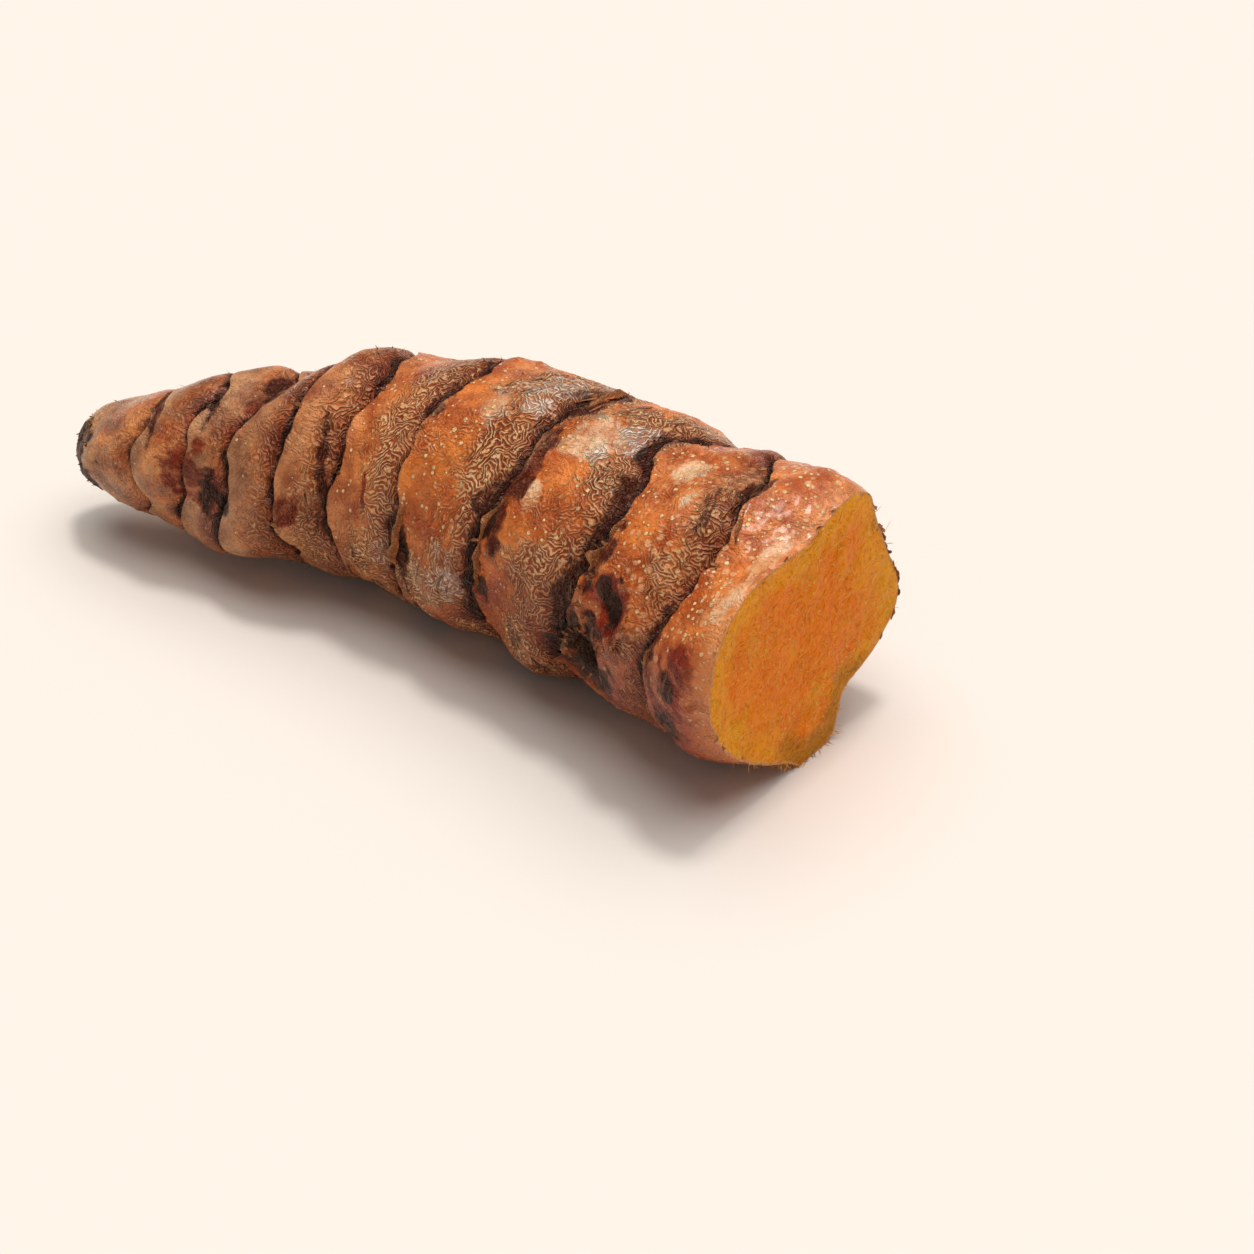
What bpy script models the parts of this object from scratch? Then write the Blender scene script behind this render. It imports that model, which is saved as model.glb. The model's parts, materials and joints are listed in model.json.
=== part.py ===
"""A fresh turmeric root: half of one root, with a pointed growing end and a flat cut end.

The root lies on its side, as it comes to rest. It is a thick underground stem that grew as one
piece, so it is one solid. Leaf rings cross it at uneven steps. Past each ring the skin starts
again with a raised lip, swells, and tucks into a groove under the next lip. Round scars are left
where side buds sat. The whole form is one closed sphere whose points are moved by a formula.

Metres, +Z up. +X runs from the growing end to the cut end. The origin is on the surface that the
root lies on, below the middle of its box.
"""
import math

import bmesh
import bpy
import numpy as np

MM = 0.001
NAME = "rhizome"
SEED = 7

# Middle line of the root from the growing end to just past the cut: along, across and up
SPINE = MM * np.array([
    (-48.0, -9.4, 7.4),
    (-33.0, -7.0, 9.2),
    (-16.0, -2.9, 10.9),
    (-5.0, -3.6, 11.5),
    (6.0, -5.8, 11.9),
    (20.5, -8.8, 12.2),
    (26.4, -10.0, 12.3),
])

# Distance along the middle line, and the mean radius there
GIRTH = MM * np.array([
    (-1.0, 2.4),
    (3.0, 4.1),
    (8.0, 5.7),
    (13.0, 6.9),
    (20.0, 8.1),
    (27.0, 9.3),
    (34.0, 10.5),
    (44.0, 11.4),
    (52.0, 11.4),
    (62.0, 11.5),
    (76.0, 12.2),
])

TIP_STATION = -0.8 * MM   # where the growing end closes
TIP_BLUNT = 2.8 * MM      # length over which it rounds off
CUT_STATION = 71.7 * MM   # where the knife crossed the middle line
CUT_HEADING = math.radians(-6.0)  # direction that the cut face looks, turned from +X

# Each leaf ring: how far along it crosses the top, the near side, the underside and the far side
RINGS = MM * np.array([
    (9.4, 7.6, 8.0, 9.0),
    (14.8, 12.2, 11.6, 13.5),
    (19.5, 16.2, 16.8, 19.0),
    (23.6, 20.7, 22.3, 25.0),
    (28.9, 25.4, 27.5, 28.0),
    (37.3, 35.2, 35.0, 38.5),
    (47.6, 45.9, 45.0, 48.0),
    (58.0, 56.5, 54.5, 59.0),
    (67.0, 66.9, 67.5, 65.5),
])

# Places where a ring strays from its course: ring, degrees round, shift in mm, half width in degrees
KINKS = (
    (1, 62, -0.9, 22),
    (1, 105, 1.4, 20),
    (2, 32, -1.0, 20),
    (3, 50, -0.9, 22),
    (4, 125, 0.8, 20),
    (5, 125, 1.0, 20),
    (8, 118, -1.6, 16),
    (9, -30, -3.0, 20),
)
WAVER = 0.3 * MM   # size of the small seeded wander of every ring
WAVER_WAVES = range(3, 10)

# Outline of the cut end: degrees round from the top towards the near side, radius in mm
CUT_OUTLINE = (
    (0, 10.6), (30, 11.4), (60, 12.9), (78, 13.6), (100, 13.0), (135, 11.4), (160, 11.4),
    (184, 12.1), (197, 11.2), (211, 8.7), (232, 10.4), (255, 12.5), (285, 11.0), (305, 11.1),
    (327, 12.5), (348, 11.1),
)
OUTLINE_FROM = 55.0 * MM   # the round body starts to take the cut's outline here
OUTLINE_FULL = 70.0 * MM

SWELL = 0.45 * MM         # how far the skin swells between two rings
LIP = 0.45 * MM           # height of the lip just past a ring
LIP_REACH = 1.1 * MM
GROOVE = 0.55 * MM        # depth of the groove just before a ring
GROOVE_REACH = 0.7 * MM
LUMPS = 0.16 * MM         # size of one seeded wave of unevenness
LUMP_LENGTHS = (7 * MM, 24 * MM)
LUMP_WAVES = 9

# Side bud scars: station and angle of the middle, radius, depth of the pit, height of the rim
BUD_SCARS = (
    (60.6, 72, 2.7, 0.35, 0.40),
    (58.0, 100, 2.1, 1.10, 0.30),
    (49.6, -98, 3.6, 0.80, 0.70),
    (31.6, -84, 2.3, 0.50, 0.45),
)
RIM_WIDTH = 0.9 * MM
PIT_SHARE = 0.75   # radius of the pit as a share of the scar's

# The underside is pressed flat this far up, which gives the root its resting face
RESTING_CUT = 0.55 * MM

# Mesh rows: shares of the way from one ring to the next, of the growing end, and of the cut face
JOINT_STEPS = (0.0, 0.1, 0.3, 0.55, 0.78, 0.9, 0.965)
TIP_STEPS = (0.03, 0.12, 0.26, 0.45, 0.68, 0.87, 0.965)
FACE_STEPS = (0.8, 0.6, 0.4, 0.2)
COLUMNS = 60

SKIN_COLOUR = (0.36, 0.17, 0.075)
SKIN_ROUGHNESS = 0.5
FLESH_COLOUR = (0.85, 0.36, 0.02)
FLESH_ROUGHNESS = 0.4
SHARP_ANGLE = math.radians(50)


def smooth(knots, values, at):
    """Cubic curve through the knots, whose slope at each knot is that of its neighbours."""
    slopes = np.gradient(values, knots, axis=0)
    i = np.clip(np.searchsorted(knots, at, side="right") - 1, 0, len(knots) - 2)
    step = knots[i + 1] - knots[i]
    t = (at - knots[i]) / step
    if values.ndim == 2:
        step = step[..., None]
        t = t[..., None]
    start = (2 * t**3 - 3 * t**2 + 1) * values[i] + (t**3 - 2 * t**2 + t) * step * slopes[i]
    end = (3 * t**2 - 2 * t**3) * values[i + 1] + (t**3 - t**2) * step * slopes[i + 1]
    return start + end


def smooth_loop(degrees, values, angle):
    """The same curve round a closed loop, from knots in degrees between 0 and 360."""
    turned = np.concatenate([degrees - 360.0, degrees, degrees + 360.0])
    return smooth(turned, np.tile(values, 3), np.degrees(angle) % 360.0)


def ramp(low, high, at):
    """0 below low, 1 above high, and an easy curve between."""
    t = np.clip((at - low) / (high - low), 0.0, 1.0)
    return t * t * (3 - 2 * t)


def turn_between(angle, other):
    """Difference of two angles, the short way round."""
    return (angle - other + math.pi) % (2 * math.pi) - math.pi


def path_frame(station):
    """Point of the middle line, and the directions ahead, to the near side and up, at a station."""
    runs = np.linalg.norm(np.diff(SPINE, axis=0), axis=1)
    knots = np.concatenate([[0.0], np.cumsum(runs)])
    middle = smooth(knots, SPINE, station)
    nudge = 0.05 * MM
    ahead = smooth(knots, SPINE, station + nudge) - smooth(knots, SPINE, station - nudge)
    ahead /= np.linalg.norm(ahead, axis=-1, keepdims=True)
    side = np.cross(ahead, (0.0, 0.0, 1.0))
    side /= np.linalg.norm(side, axis=-1, keepdims=True)
    return middle, ahead, side, np.cross(side, ahead)


def ring_stations(angle):
    """Station of the growing end, of each leaf ring and of the cut, at every angle.

    A ring's station is its mean, plus a cosine and a sine of the angle that lean it, plus a
    cosine of twice the angle that bows it, so it meets its four given crossings. Each kink adds
    a bell curve, and seeded waves add a small waver.
    """
    rng = np.random.default_rng(SEED)
    top, near, under, far = RINGS.T[..., None]
    mean = (top + near + under + far) / 4
    course = mean + (top - under) / 2 * np.cos(angle) + (near - far) / 2 * np.sin(angle)
    course = course + (top + under - near - far) / 4 * np.cos(2 * angle)
    for number, degrees, shift, half_width in KINKS:
        turn = turn_between(angle, math.radians(degrees)) / math.radians(half_width)
        course[number - 1] += shift * MM * np.exp(-turn**2)
    for waves in WAVER_WAVES:
        phase = rng.uniform(0, 2 * math.pi, (len(RINGS), 1))
        course = course + WAVER / math.sqrt(waves) * np.sin(waves * angle + phase)
    return np.vstack([np.full(len(angle), TIP_STATION), course, cut_station(angle)])


def cut_plane():
    """A point of the flat cut, the direction it looks, and the middle line's frame there."""
    middle, ahead, side, up = (row[0] for row in path_frame(np.array([CUT_STATION])))
    facing = np.array([math.cos(CUT_HEADING), math.sin(CUT_HEADING), 0.0])
    return middle, facing, ahead, side, up


def cut_outline(angle):
    """Radius of the cut end at an angle."""
    degrees, radius = np.array(CUT_OUTLINE).T
    return MM * smooth_loop(degrees, radius, angle)


def cut_station(angle):
    """Station at which the skin meets the slanted plane of the cut."""
    _, facing, ahead, side, up = cut_plane()
    outwards = np.outer(np.cos(angle), up) + np.outer(np.sin(angle), side)
    return CUT_STATION - cut_outline(angle) * (outwards @ facing) / (ahead @ facing)


def lumps(station, angle):
    """Seeded waves along and round the root, the unevenness of a thing that grew."""
    rng = np.random.default_rng(SEED + 1)
    total = np.zeros_like(station)
    for _ in range(LUMP_WAVES):
        along = 2 * math.pi / rng.uniform(*LUMP_LENGTHS)
        around = rng.integers(1, 6)
        phase = rng.uniform(0, 2 * math.pi)
        total += LUMPS * np.sin(along * station + around * angle + phase)
    return total


def bud_scars(station, angle, radius):
    """Round marks of side buds: a pit with a flat floor, and a rim like a bell curve round it."""
    total = np.zeros_like(station)
    for place, degrees, size, depth, rim in BUD_SCARS:
        along = station - place * MM
        around = radius * turn_between(angle, math.radians(degrees))
        away = np.hypot(along, around)
        total += rim * MM * np.exp(-((away - size * MM) / RIM_WIDTH) ** 2)
        total -= depth * MM * np.exp(-((away / (PIT_SHARE * size * MM)) ** 4))
    return total


def skin_radius(station, angle, passed, length, lip, groove):
    """Distance of the skin from the middle line.

    The mean girth turns into the cut's outline towards the cut, and rounds off like an ellipse
    at the growing end. Between rings, passed is the share of the joint's length left behind.
    A swell is highest halfway. The lip falls off with the distance since the last ring, and the
    groove deepens towards the next. lip and groove are 1 where there is one, and otherwise 0.
    """
    girth = smooth(GIRTH[:, 0], GIRTH[:, 1], station)
    share = ramp(OUTLINE_FROM, OUTLINE_FULL, station)
    body = girth * (1 - share) + cut_outline(angle) * share
    left = np.clip(1 - (station - TIP_STATION) / TIP_BLUNT, 0.0, 1.0)
    body = body * np.sqrt(1 - left**2)
    relief = SWELL * (4 * passed * (1 - passed) - 0.5)
    relief = relief + lip * LIP * np.exp(-passed * length / LIP_REACH)
    relief -= groove * GROOVE * np.exp(-(1 - passed) * length / GROOVE_REACH)
    relief += lumps(station, angle) + bud_scars(station, angle, body)
    return body + relief * (1 - left)


def skin_point(station, radius, angle):
    """Point at that distance from the middle line, turned from up towards the near side."""
    middle, _, side, up = path_frame(station)
    outwards = np.cos(angle)[..., None] * up + np.sin(angle)[..., None] * side
    return middle + radius[..., None] * outwards


def growth_of_rows():
    """Growth count of every row of skin: whole numbers are rings, 0 the growing end."""
    joints = [ring + step for ring in range(1, len(RINGS) + 1) for step in JOINT_STEPS]
    return np.array([0.0, *TIP_STEPS, *joints, len(RINGS) + 1])


def skin_rows(angle):
    """Points of all skin rows, from the growing end to the edge of the cut."""
    growth = growth_of_rows()[:, None]
    rings = ring_stations(angle)
    last = np.minimum(growth.astype(int), len(RINGS))[:, 0]
    passed = growth - last[:, None]
    length = rings[last + 1] - rings[last]
    station = rings[last] + passed * length
    around = np.broadcast_to(angle, station.shape)
    radius = skin_radius(station, around, passed, length, growth >= 1, growth < len(RINGS))
    return skin_point(station, radius, around)


def press_flat(points):
    """Underside brought up to the resting height, which becomes z = 0."""
    points[..., 2] = np.maximum(points[..., 2] - RESTING_CUT, 0.0)
    return points


def root_rows():
    """Points of every row from the growing end over the skin and the cut to its centre."""
    angle = np.arange(COLUMNS) * 2 * math.pi / COLUMNS
    skin = skin_rows(angle)
    middle, facing, ahead, _, _ = cut_plane()
    short_of_cut = ((middle - skin[-1]) @ facing) / (ahead @ facing)
    skin[-1] += short_of_cut[:, None] * ahead
    skin = press_flat(skin)
    edge = skin[-1]
    centre = edge.mean(axis=0)
    face = [centre + share * (edge - centre) for share in FACE_STEPS]
    return np.vstack([skin, face, np.broadcast_to(centre, (1, *edge.shape))])


def material(name, colour, roughness):
    """Plain finish with the real thing's colour and shine."""
    finish = bpy.data.materials.new(name)
    finish.use_nodes = True
    shader = finish.node_tree.nodes["Principled BSDF"]
    shader.inputs["Base Color"].default_value = (*colour, 1.0)
    shader.inputs["Roughness"].default_value = roughness
    shader.inputs["Metallic"].default_value = 0.0
    finish.diffuse_color = (*colour, 1.0)
    return finish


def sphere_mesh(row_count):
    """Sphere with as many latitudes, poles included, as the root has rows."""
    shape = bmesh.new()
    bmesh.ops.create_uvsphere(shape, u_segments=COLUMNS, v_segments=row_count - 1, radius=1.0)
    mesh = bpy.data.meshes.new(NAME)
    shape.to_mesh(mesh)
    shape.free()
    return mesh


def row_and_column(mesh, row_count):
    """Row, counted from the south pole, and column of each point of the sphere."""
    flat = np.empty(len(mesh.vertices) * 3)
    mesh.vertices.foreach_get("co", flat)
    x, y, z = flat.reshape(-1, 3).T
    from_south = 1 - np.arccos(np.clip(z, -1, 1)) / math.pi
    round_share = np.arctan2(y, x) / (2 * math.pi)
    row = np.rint(from_south * (row_count - 1)).astype(int)
    column = np.rint(round_share * COLUMNS).astype(int) % COLUMNS
    return row, column


def centred(points):
    """Points moved sideways until the middle of their box is above the origin."""
    low = points.min(axis=0)
    high = points.max(axis=0)
    return points - [(low[0] + high[0]) / 2, (low[1] + high[1]) / 2, low[2]]


def turn_faces_out(mesh):
    """Faces of the closed body all turned outwards."""
    shape = bmesh.new()
    shape.from_mesh(mesh)
    bmesh.ops.recalc_face_normals(shape, faces=shape.faces)
    shape.to_mesh(mesh)
    shape.free()


def make_root(collection):
    """Sphere whose latitudes become the root's rows, from the growing end at its south pole."""
    rows = root_rows()
    mesh = sphere_mesh(len(rows))
    row, column = row_and_column(mesh, len(rows))
    mesh.vertices.foreach_set("co", centred(rows[row, column]).ravel())
    mesh.materials.append(material("turmeric_skin", SKIN_COLOUR, SKIN_ROUGHNESS))
    mesh.materials.append(material("turmeric_flesh", FLESH_COLOUR, FLESH_ROUGHNESS))
    cut_edge = len(growth_of_rows()) - 1
    for face in mesh.polygons:
        face.material_index = int(min(row[v] for v in face.vertices) >= cut_edge)
    turn_faces_out(mesh)
    mesh.shade_smooth()
    mesh.set_sharp_from_angle(angle=SHARP_ANGLE)
    collection.objects.link(bpy.data.objects.new(NAME, mesh))


def main():
    for old in list(bpy.data.objects):
        bpy.data.objects.remove(old)
    collection = bpy.data.collections.new("turmeric_root")
    bpy.context.scene.collection.children.link(collection)
    make_root(collection)


main()
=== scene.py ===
# %% [markdown]
# # A fresh turmeric root, cut across
#
# A turmeric root is a thick stem that grows underground. Leaf rings cross it, its skin is thin and papery,
# and the flesh inside is bright orange. This lesson dresses a plain solid of one half root: it rebuilds the
# same form on a fine grid, paints bands and spots on it, and adds the small loose things that a smooth
# surface can't hold, such as torn leaf bases, hairs and fibres. Lengths are in metres, and MM turns
# millimetres into metres.

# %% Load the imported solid
import itertools
import json
import math

import bpy
import numpy as np
from mathutils import Matrix, Vector

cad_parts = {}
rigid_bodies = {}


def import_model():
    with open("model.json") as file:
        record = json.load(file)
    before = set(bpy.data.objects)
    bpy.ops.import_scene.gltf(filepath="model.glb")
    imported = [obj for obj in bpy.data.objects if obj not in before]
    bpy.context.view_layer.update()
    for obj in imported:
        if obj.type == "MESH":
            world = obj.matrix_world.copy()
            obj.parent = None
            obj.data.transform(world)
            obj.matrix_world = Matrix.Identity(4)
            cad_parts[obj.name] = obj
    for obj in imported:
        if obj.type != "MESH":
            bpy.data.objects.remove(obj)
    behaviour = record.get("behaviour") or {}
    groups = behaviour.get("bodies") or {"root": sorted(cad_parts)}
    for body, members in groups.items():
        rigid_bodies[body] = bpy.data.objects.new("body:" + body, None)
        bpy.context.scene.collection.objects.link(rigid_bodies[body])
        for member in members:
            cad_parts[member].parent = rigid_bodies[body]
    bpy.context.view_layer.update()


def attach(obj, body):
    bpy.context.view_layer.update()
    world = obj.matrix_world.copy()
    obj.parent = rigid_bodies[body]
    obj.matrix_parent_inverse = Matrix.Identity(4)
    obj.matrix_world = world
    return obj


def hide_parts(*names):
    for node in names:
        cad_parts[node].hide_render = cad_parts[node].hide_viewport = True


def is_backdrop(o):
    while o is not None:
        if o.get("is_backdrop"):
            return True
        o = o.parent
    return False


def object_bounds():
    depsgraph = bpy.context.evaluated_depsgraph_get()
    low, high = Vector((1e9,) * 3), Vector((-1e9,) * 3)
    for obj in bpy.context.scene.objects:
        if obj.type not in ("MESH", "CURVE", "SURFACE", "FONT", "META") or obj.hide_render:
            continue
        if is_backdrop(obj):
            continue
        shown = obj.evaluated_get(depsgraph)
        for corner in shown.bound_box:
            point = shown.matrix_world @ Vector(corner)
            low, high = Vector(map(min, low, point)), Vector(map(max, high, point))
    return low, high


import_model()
MM = 0.001
NODE = "rhizome"
BODY = "root"

# %% [markdown]
# ## Camera
#
# The picture was taken from the side of the bud scar, looking down at the root from 35 degrees. A real
# camera can be found from its picture: the flat cut shows as an ellipse, which gives the height of the
# lens, and the way the joints shrink gives its distance. The picture is square, 1254 pixels wide.

# %% Camera
PICTURE_WIDTH = 1254            # pixels
FOCAL_PIXELS = 4560.0           # focal length in those pixels
SENSOR_MM = 36.0
HEADING = math.radians(31.0)    # direction of the picture's right edge, turned from +X
LOOK_DOWN = math.radians(35.0)
LENS_DISTANCE = 380.0 * MM
AIM = Vector((12.64, 7.08, -0.55)) * MM   # what the middle of the picture shows


def put(name, data):
    """An object in the scene that shows this data."""
    thing = bpy.data.objects.new(name, data)
    bpy.context.scene.collection.objects.link(thing)
    return thing


camera_right = Vector((math.cos(HEADING), math.sin(HEADING), 0.0))
camera_away = Vector((-math.sin(HEADING), math.cos(HEADING), 0.0))
camera_forward = camera_away * math.cos(LOOK_DOWN) - Vector((0, 0, 1)) * math.sin(LOOK_DOWN)
camera_up = camera_right.cross(camera_forward)
camera_data = bpy.data.cameras.new("camera")
camera_data.sensor_width = SENSOR_MM
camera_data.lens = FOCAL_PIXELS * SENSOR_MM / PICTURE_WIDTH
camera_data.clip_start = 0.01
camera = put("camera", camera_data)
turn = Matrix((camera_right, camera_up, -camera_forward)).transposed().to_4x4()
camera.matrix_world = Matrix.Translation(AIM - camera_forward * LENS_DISTANCE) @ turn
bpy.context.scene.camera = camera
print("lens of", round(camera_data.lens, 1), "mm at", [round(v, 3) for v in camera.location])

# %% [markdown]
# ## Light and floor
#
# The light is one broad soft source high behind the root, and a dim room all round. A sun lamp with a wide
# angle lights the whole floor evenly and still gives the soft shadow. A second, narrower sun in the same
# place is the bright middle of that source, and puts the small glints on moist skin. The world gives the
# rest. The Standard view shows colours as they are set, which suits a picture with a nearly white
# background.

# %% Light and floor
KEY_ANGLE = math.radians(90)     # where the light comes from, turned from +X
KEY_HEIGHT = math.radians(78)
KEY_SPREAD = math.radians(74)
KEY_STRENGTH = 1.95
GLINT_SPREAD = math.radians(11)
GLINT_STRENGTH = 1.05
ROOM_STRENGTH = 0.20
WARM_WHITE = (1.0, 0.965, 0.93)
FLOOR_COLOUR = (0.90, 0.84, 0.78)
FLOOR_HALF = 3.0


def sun(name, spread, strength):
    """A distant light from the key's direction, as wide as its spread."""
    data = bpy.data.lights.new(name, "SUN")
    data.energy = strength
    data.angle = spread
    data.color = WARM_WHITE
    level = math.cos(KEY_HEIGHT)
    source = Vector((math.cos(KEY_ANGLE) * level, math.sin(KEY_ANGLE) * level, math.sin(KEY_HEIGHT)))
    lamp = put(name, data)
    lamp.rotation_mode = "QUATERNION"
    lamp.rotation_quaternion = source.to_track_quat("Z", "Y")


sun("key_light", KEY_SPREAD, KEY_STRENGTH)
sun("glint_light", GLINT_SPREAD, GLINT_STRENGTH)
world = bpy.data.worlds.new("room")
world.use_nodes = True
background = world.node_tree.nodes["Background"].inputs
background["Color"].default_value = (*WARM_WHITE, 1.0)
background["Strength"].default_value = ROOM_STRENGTH
bpy.context.scene.world = world
bpy.context.scene.view_settings.view_transform = "Standard"

floor_mesh = bpy.data.meshes.new("floor")
floor_corners = [(x * FLOOR_HALF, y * FLOOR_HALF, 0.0) for x, y in ((-1, -1), (1, -1), (1, 1), (-1, 1))]
floor_mesh.from_pydata(floor_corners, [], [(0, 1, 2, 3)])
floor_paint = bpy.data.materials.new("floor_paper")
floor_paint.use_nodes = True
floor_sockets = floor_paint.node_tree.nodes["Principled BSDF"].inputs
floor_sockets["Base Color"].default_value = (*FLOOR_COLOUR, 1.0)
floor_sockets["Roughness"].default_value = 0.8
floor_sockets["Specular IOR Level"].default_value = 0.1
floor_mesh.materials.append(floor_paint)
floor = put("floor", floor_mesh)
floor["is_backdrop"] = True
print("lights:", len(bpy.data.lights), " floor:", 2 * FLOOR_HALF, "m wide")

# %% [markdown]
# ## The form's own numbers
#
# These are the numbers of the solid: a middle line, the girth along it, the leaf rings, the outline of the
# cut and the bud scars. Repeating them keeps the fine skin on the solid, ring for ring. A station is a
# distance along the middle line from the growing end, and an angle is 0 at the top and 90 degrees on the
# near side.

# %% Numbers of the form
SEED = 7
MIDDLE = MM * np.array([12.637, 7.079, 0.0])   # moves the middle line's points over the origin
SPINE = MM * np.array([
    (-48.0, -9.4, 7.4),
    (-33.0, -7.0, 9.2),
    (-16.0, -2.9, 10.9),
    (-5.0, -3.6, 11.5),
    (6.0, -5.8, 11.9),
    (20.5, -8.8, 12.2),
    (26.4, -10.0, 12.3),
])
GIRTH = MM * np.array([
    (-1.0, 2.4), (3.0, 4.1), (8.0, 5.7), (13.0, 6.9), (20.0, 8.1), (27.0, 9.3),
    (34.0, 10.5), (44.0, 11.4), (52.0, 11.4), (62.0, 11.5), (76.0, 12.2),
])
TIP_STATION = -0.8 * MM
TIP_BLUNT = 2.8 * MM
CUT_STATION = 71.7 * MM
CUT_HEADING = math.radians(-6.0)
RINGS = MM * np.array([   # stations on top, near side, underside and far side
    (9.4, 7.6, 8.0, 9.0),
    (14.8, 12.2, 11.6, 13.5),
    (19.5, 16.2, 16.8, 19.0),
    (23.6, 20.7, 22.3, 25.0),
    (28.9, 25.4, 27.5, 28.0),
    (37.3, 35.2, 35.0, 38.5),
    (47.6, 45.9, 45.0, 48.0),
    (58.0, 56.5, 54.5, 59.0),
    (67.0, 66.9, 67.5, 65.5),
])
KINKS = (   # ring, degrees round, shift in mm, half width in degrees
    (1, 62, -0.9, 22), (1, 105, 1.4, 20), (2, 32, -1.0, 20), (3, 50, -0.9, 22), (4, 125, 0.8, 20),
    (5, 125, 1.0, 20), (8, 118, -1.6, 16), (9, -30, -3.0, 20),
)
WAVER = 0.3 * MM
WAVER_WAVES = range(3, 10)
CUT_OUTLINE = (   # degrees round, radius in mm
    (0, 10.6), (30, 11.4), (60, 12.9), (78, 13.6), (100, 13.0), (135, 11.4), (160, 11.4),
    (184, 12.1), (197, 11.2), (211, 8.7), (232, 10.4), (255, 12.5), (285, 11.0), (305, 11.1),
    (327, 12.5), (348, 11.1),
)
OUTLINE_FROM = 55.0 * MM
OUTLINE_FULL = 70.0 * MM
SWELL = 0.45 * MM
LIP = 0.45 * MM
LIP_REACH = 1.1 * MM
GROOVE = 0.55 * MM
GROOVE_REACH = 0.7 * MM
LUMPS = 0.16 * MM
LUMP_LENGTHS = (7 * MM, 24 * MM)
LUMP_WAVES = 9
BUD_SCARS = (   # station and angle of the middle, radius, depth of the pit, height of the rim
    (60.6, 72, 2.7, 0.35, 0.40),
    (58.0, 100, 2.1, 1.10, 0.30),
    (49.6, -98, 3.6, 0.80, 0.70),
    (31.6, -84, 2.3, 0.50, 0.45),
)
RIM_WIDTH = 0.9 * MM
PIT_SHARE = 0.75
RESTING_CUT = 0.55 * MM

# %% [markdown]
# ## Curves through a few points
#
# A form that grew has no straight runs, so every list above is read as a smooth curve. A cubic curve that
# takes its slope from the neighbouring points passes through all of them and never swings far.

# %% Curves, ramps and the frame of the middle line


def smooth(knots, values, at):
    """Cubic curve through the knots, whose slope at each knot is that of its neighbours."""
    slopes = np.gradient(values, knots, axis=0)
    i = np.clip(np.searchsorted(knots, at, side="right") - 1, 0, len(knots) - 2)
    step = knots[i + 1] - knots[i]
    t = (at - knots[i]) / step
    if values.ndim == 2:
        step = step[..., None]
        t = t[..., None]
    start = (2 * t**3 - 3 * t**2 + 1) * values[i] + (t**3 - 2 * t**2 + t) * step * slopes[i]
    end = (3 * t**2 - 2 * t**3) * values[i + 1] + (t**3 - t**2) * step * slopes[i + 1]
    return start + end


def smooth_loop(degrees, values, angle):
    """The same curve round a closed loop, from knots in degrees between 0 and 360."""
    turned = np.concatenate([degrees - 360.0, degrees, degrees + 360.0])
    return smooth(turned, np.tile(values, 3), np.degrees(angle) % 360.0)


def ramp(low, high, at):
    """0 below low, 1 above high, and an easy curve between."""
    t = np.clip((at - low) / (high - low), 0.0, 1.0)
    return t * t * (3 - 2 * t)


def turn_between(angle, other):
    """Difference of two angles, the short way round."""
    return (angle - other + math.pi) % (2 * math.pi) - math.pi


def bell_curve(angle, degrees, half_width):
    """1 at an angle in degrees, falling off to both sides with that half width in degrees."""
    return np.exp(-(turn_between(angle, math.radians(degrees)) / math.radians(half_width)) ** 2)


def path_frame(station):
    """Point of the middle line, and the directions ahead, to the near side and up, at a station."""
    runs = np.linalg.norm(np.diff(SPINE, axis=0), axis=1)
    knots = np.concatenate([[0.0], np.cumsum(runs)])
    middle = smooth(knots, SPINE, station) + MIDDLE
    nudge = 0.05 * MM
    ahead = smooth(knots, SPINE, station + nudge) - smooth(knots, SPINE, station - nudge)
    ahead /= np.linalg.norm(ahead, axis=-1, keepdims=True)
    side = np.cross(ahead, (0.0, 0.0, 1.0))
    side /= np.linalg.norm(side, axis=-1, keepdims=True)
    return middle, ahead, side, np.cross(side, ahead)


# %% [markdown]
# ## Noise on whole arrays
#
# Growth is uneven at every size. Value noise does it: random numbers sit on the corners of a lattice of
# cells, and a point takes a blend of the eight corners round it. It is read at the point's own place in
# space, so it has no seam where the skin closes round the root.

# %% Value noise
LATTICE = 32     # corners of the lattice along each axis, before it repeats
FADE = 0.55


def value_noise(points, size, seed):
    """Smooth noise from 0 to 1 at points, on a repeating lattice with cells of that size."""
    lattice = np.random.default_rng(seed).random((LATTICE, LATTICE, LATTICE))
    cell = points / size
    low = np.floor(cell).astype(int)
    blend = cell - low
    blend = blend * blend * (3 - 2 * blend)
    total = np.zeros(points.shape[:-1])
    for corner in itertools.product((0, 1), repeat=3):
        weight = np.prod(np.where(corner, blend, 1 - blend), axis=-1)
        index = (low + corner) % LATTICE
        total += weight * lattice[index[..., 0], index[..., 1], index[..., 2]]
    return total


def rough_noise(points, size, seed, octaves=3):
    """Sum of value noises about 0, each half the size of the one before and FADE of its height."""
    total = np.zeros(points.shape[:-1])
    height = 1.0
    for octave in range(octaves):
        total += height * (value_noise(points, size / 2**octave, seed + octave) - 0.5)
        height *= FADE
    return total


# %% [markdown]
# ## Rings, cut, lumps and scars
#
# Here is the solid's formula again. The station of every ring is worked out at every angle, so a place on
# the skin is known by two numbers: how far it is from one ring to the next, and its angle round the root.

# %% Formula of the form


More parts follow.
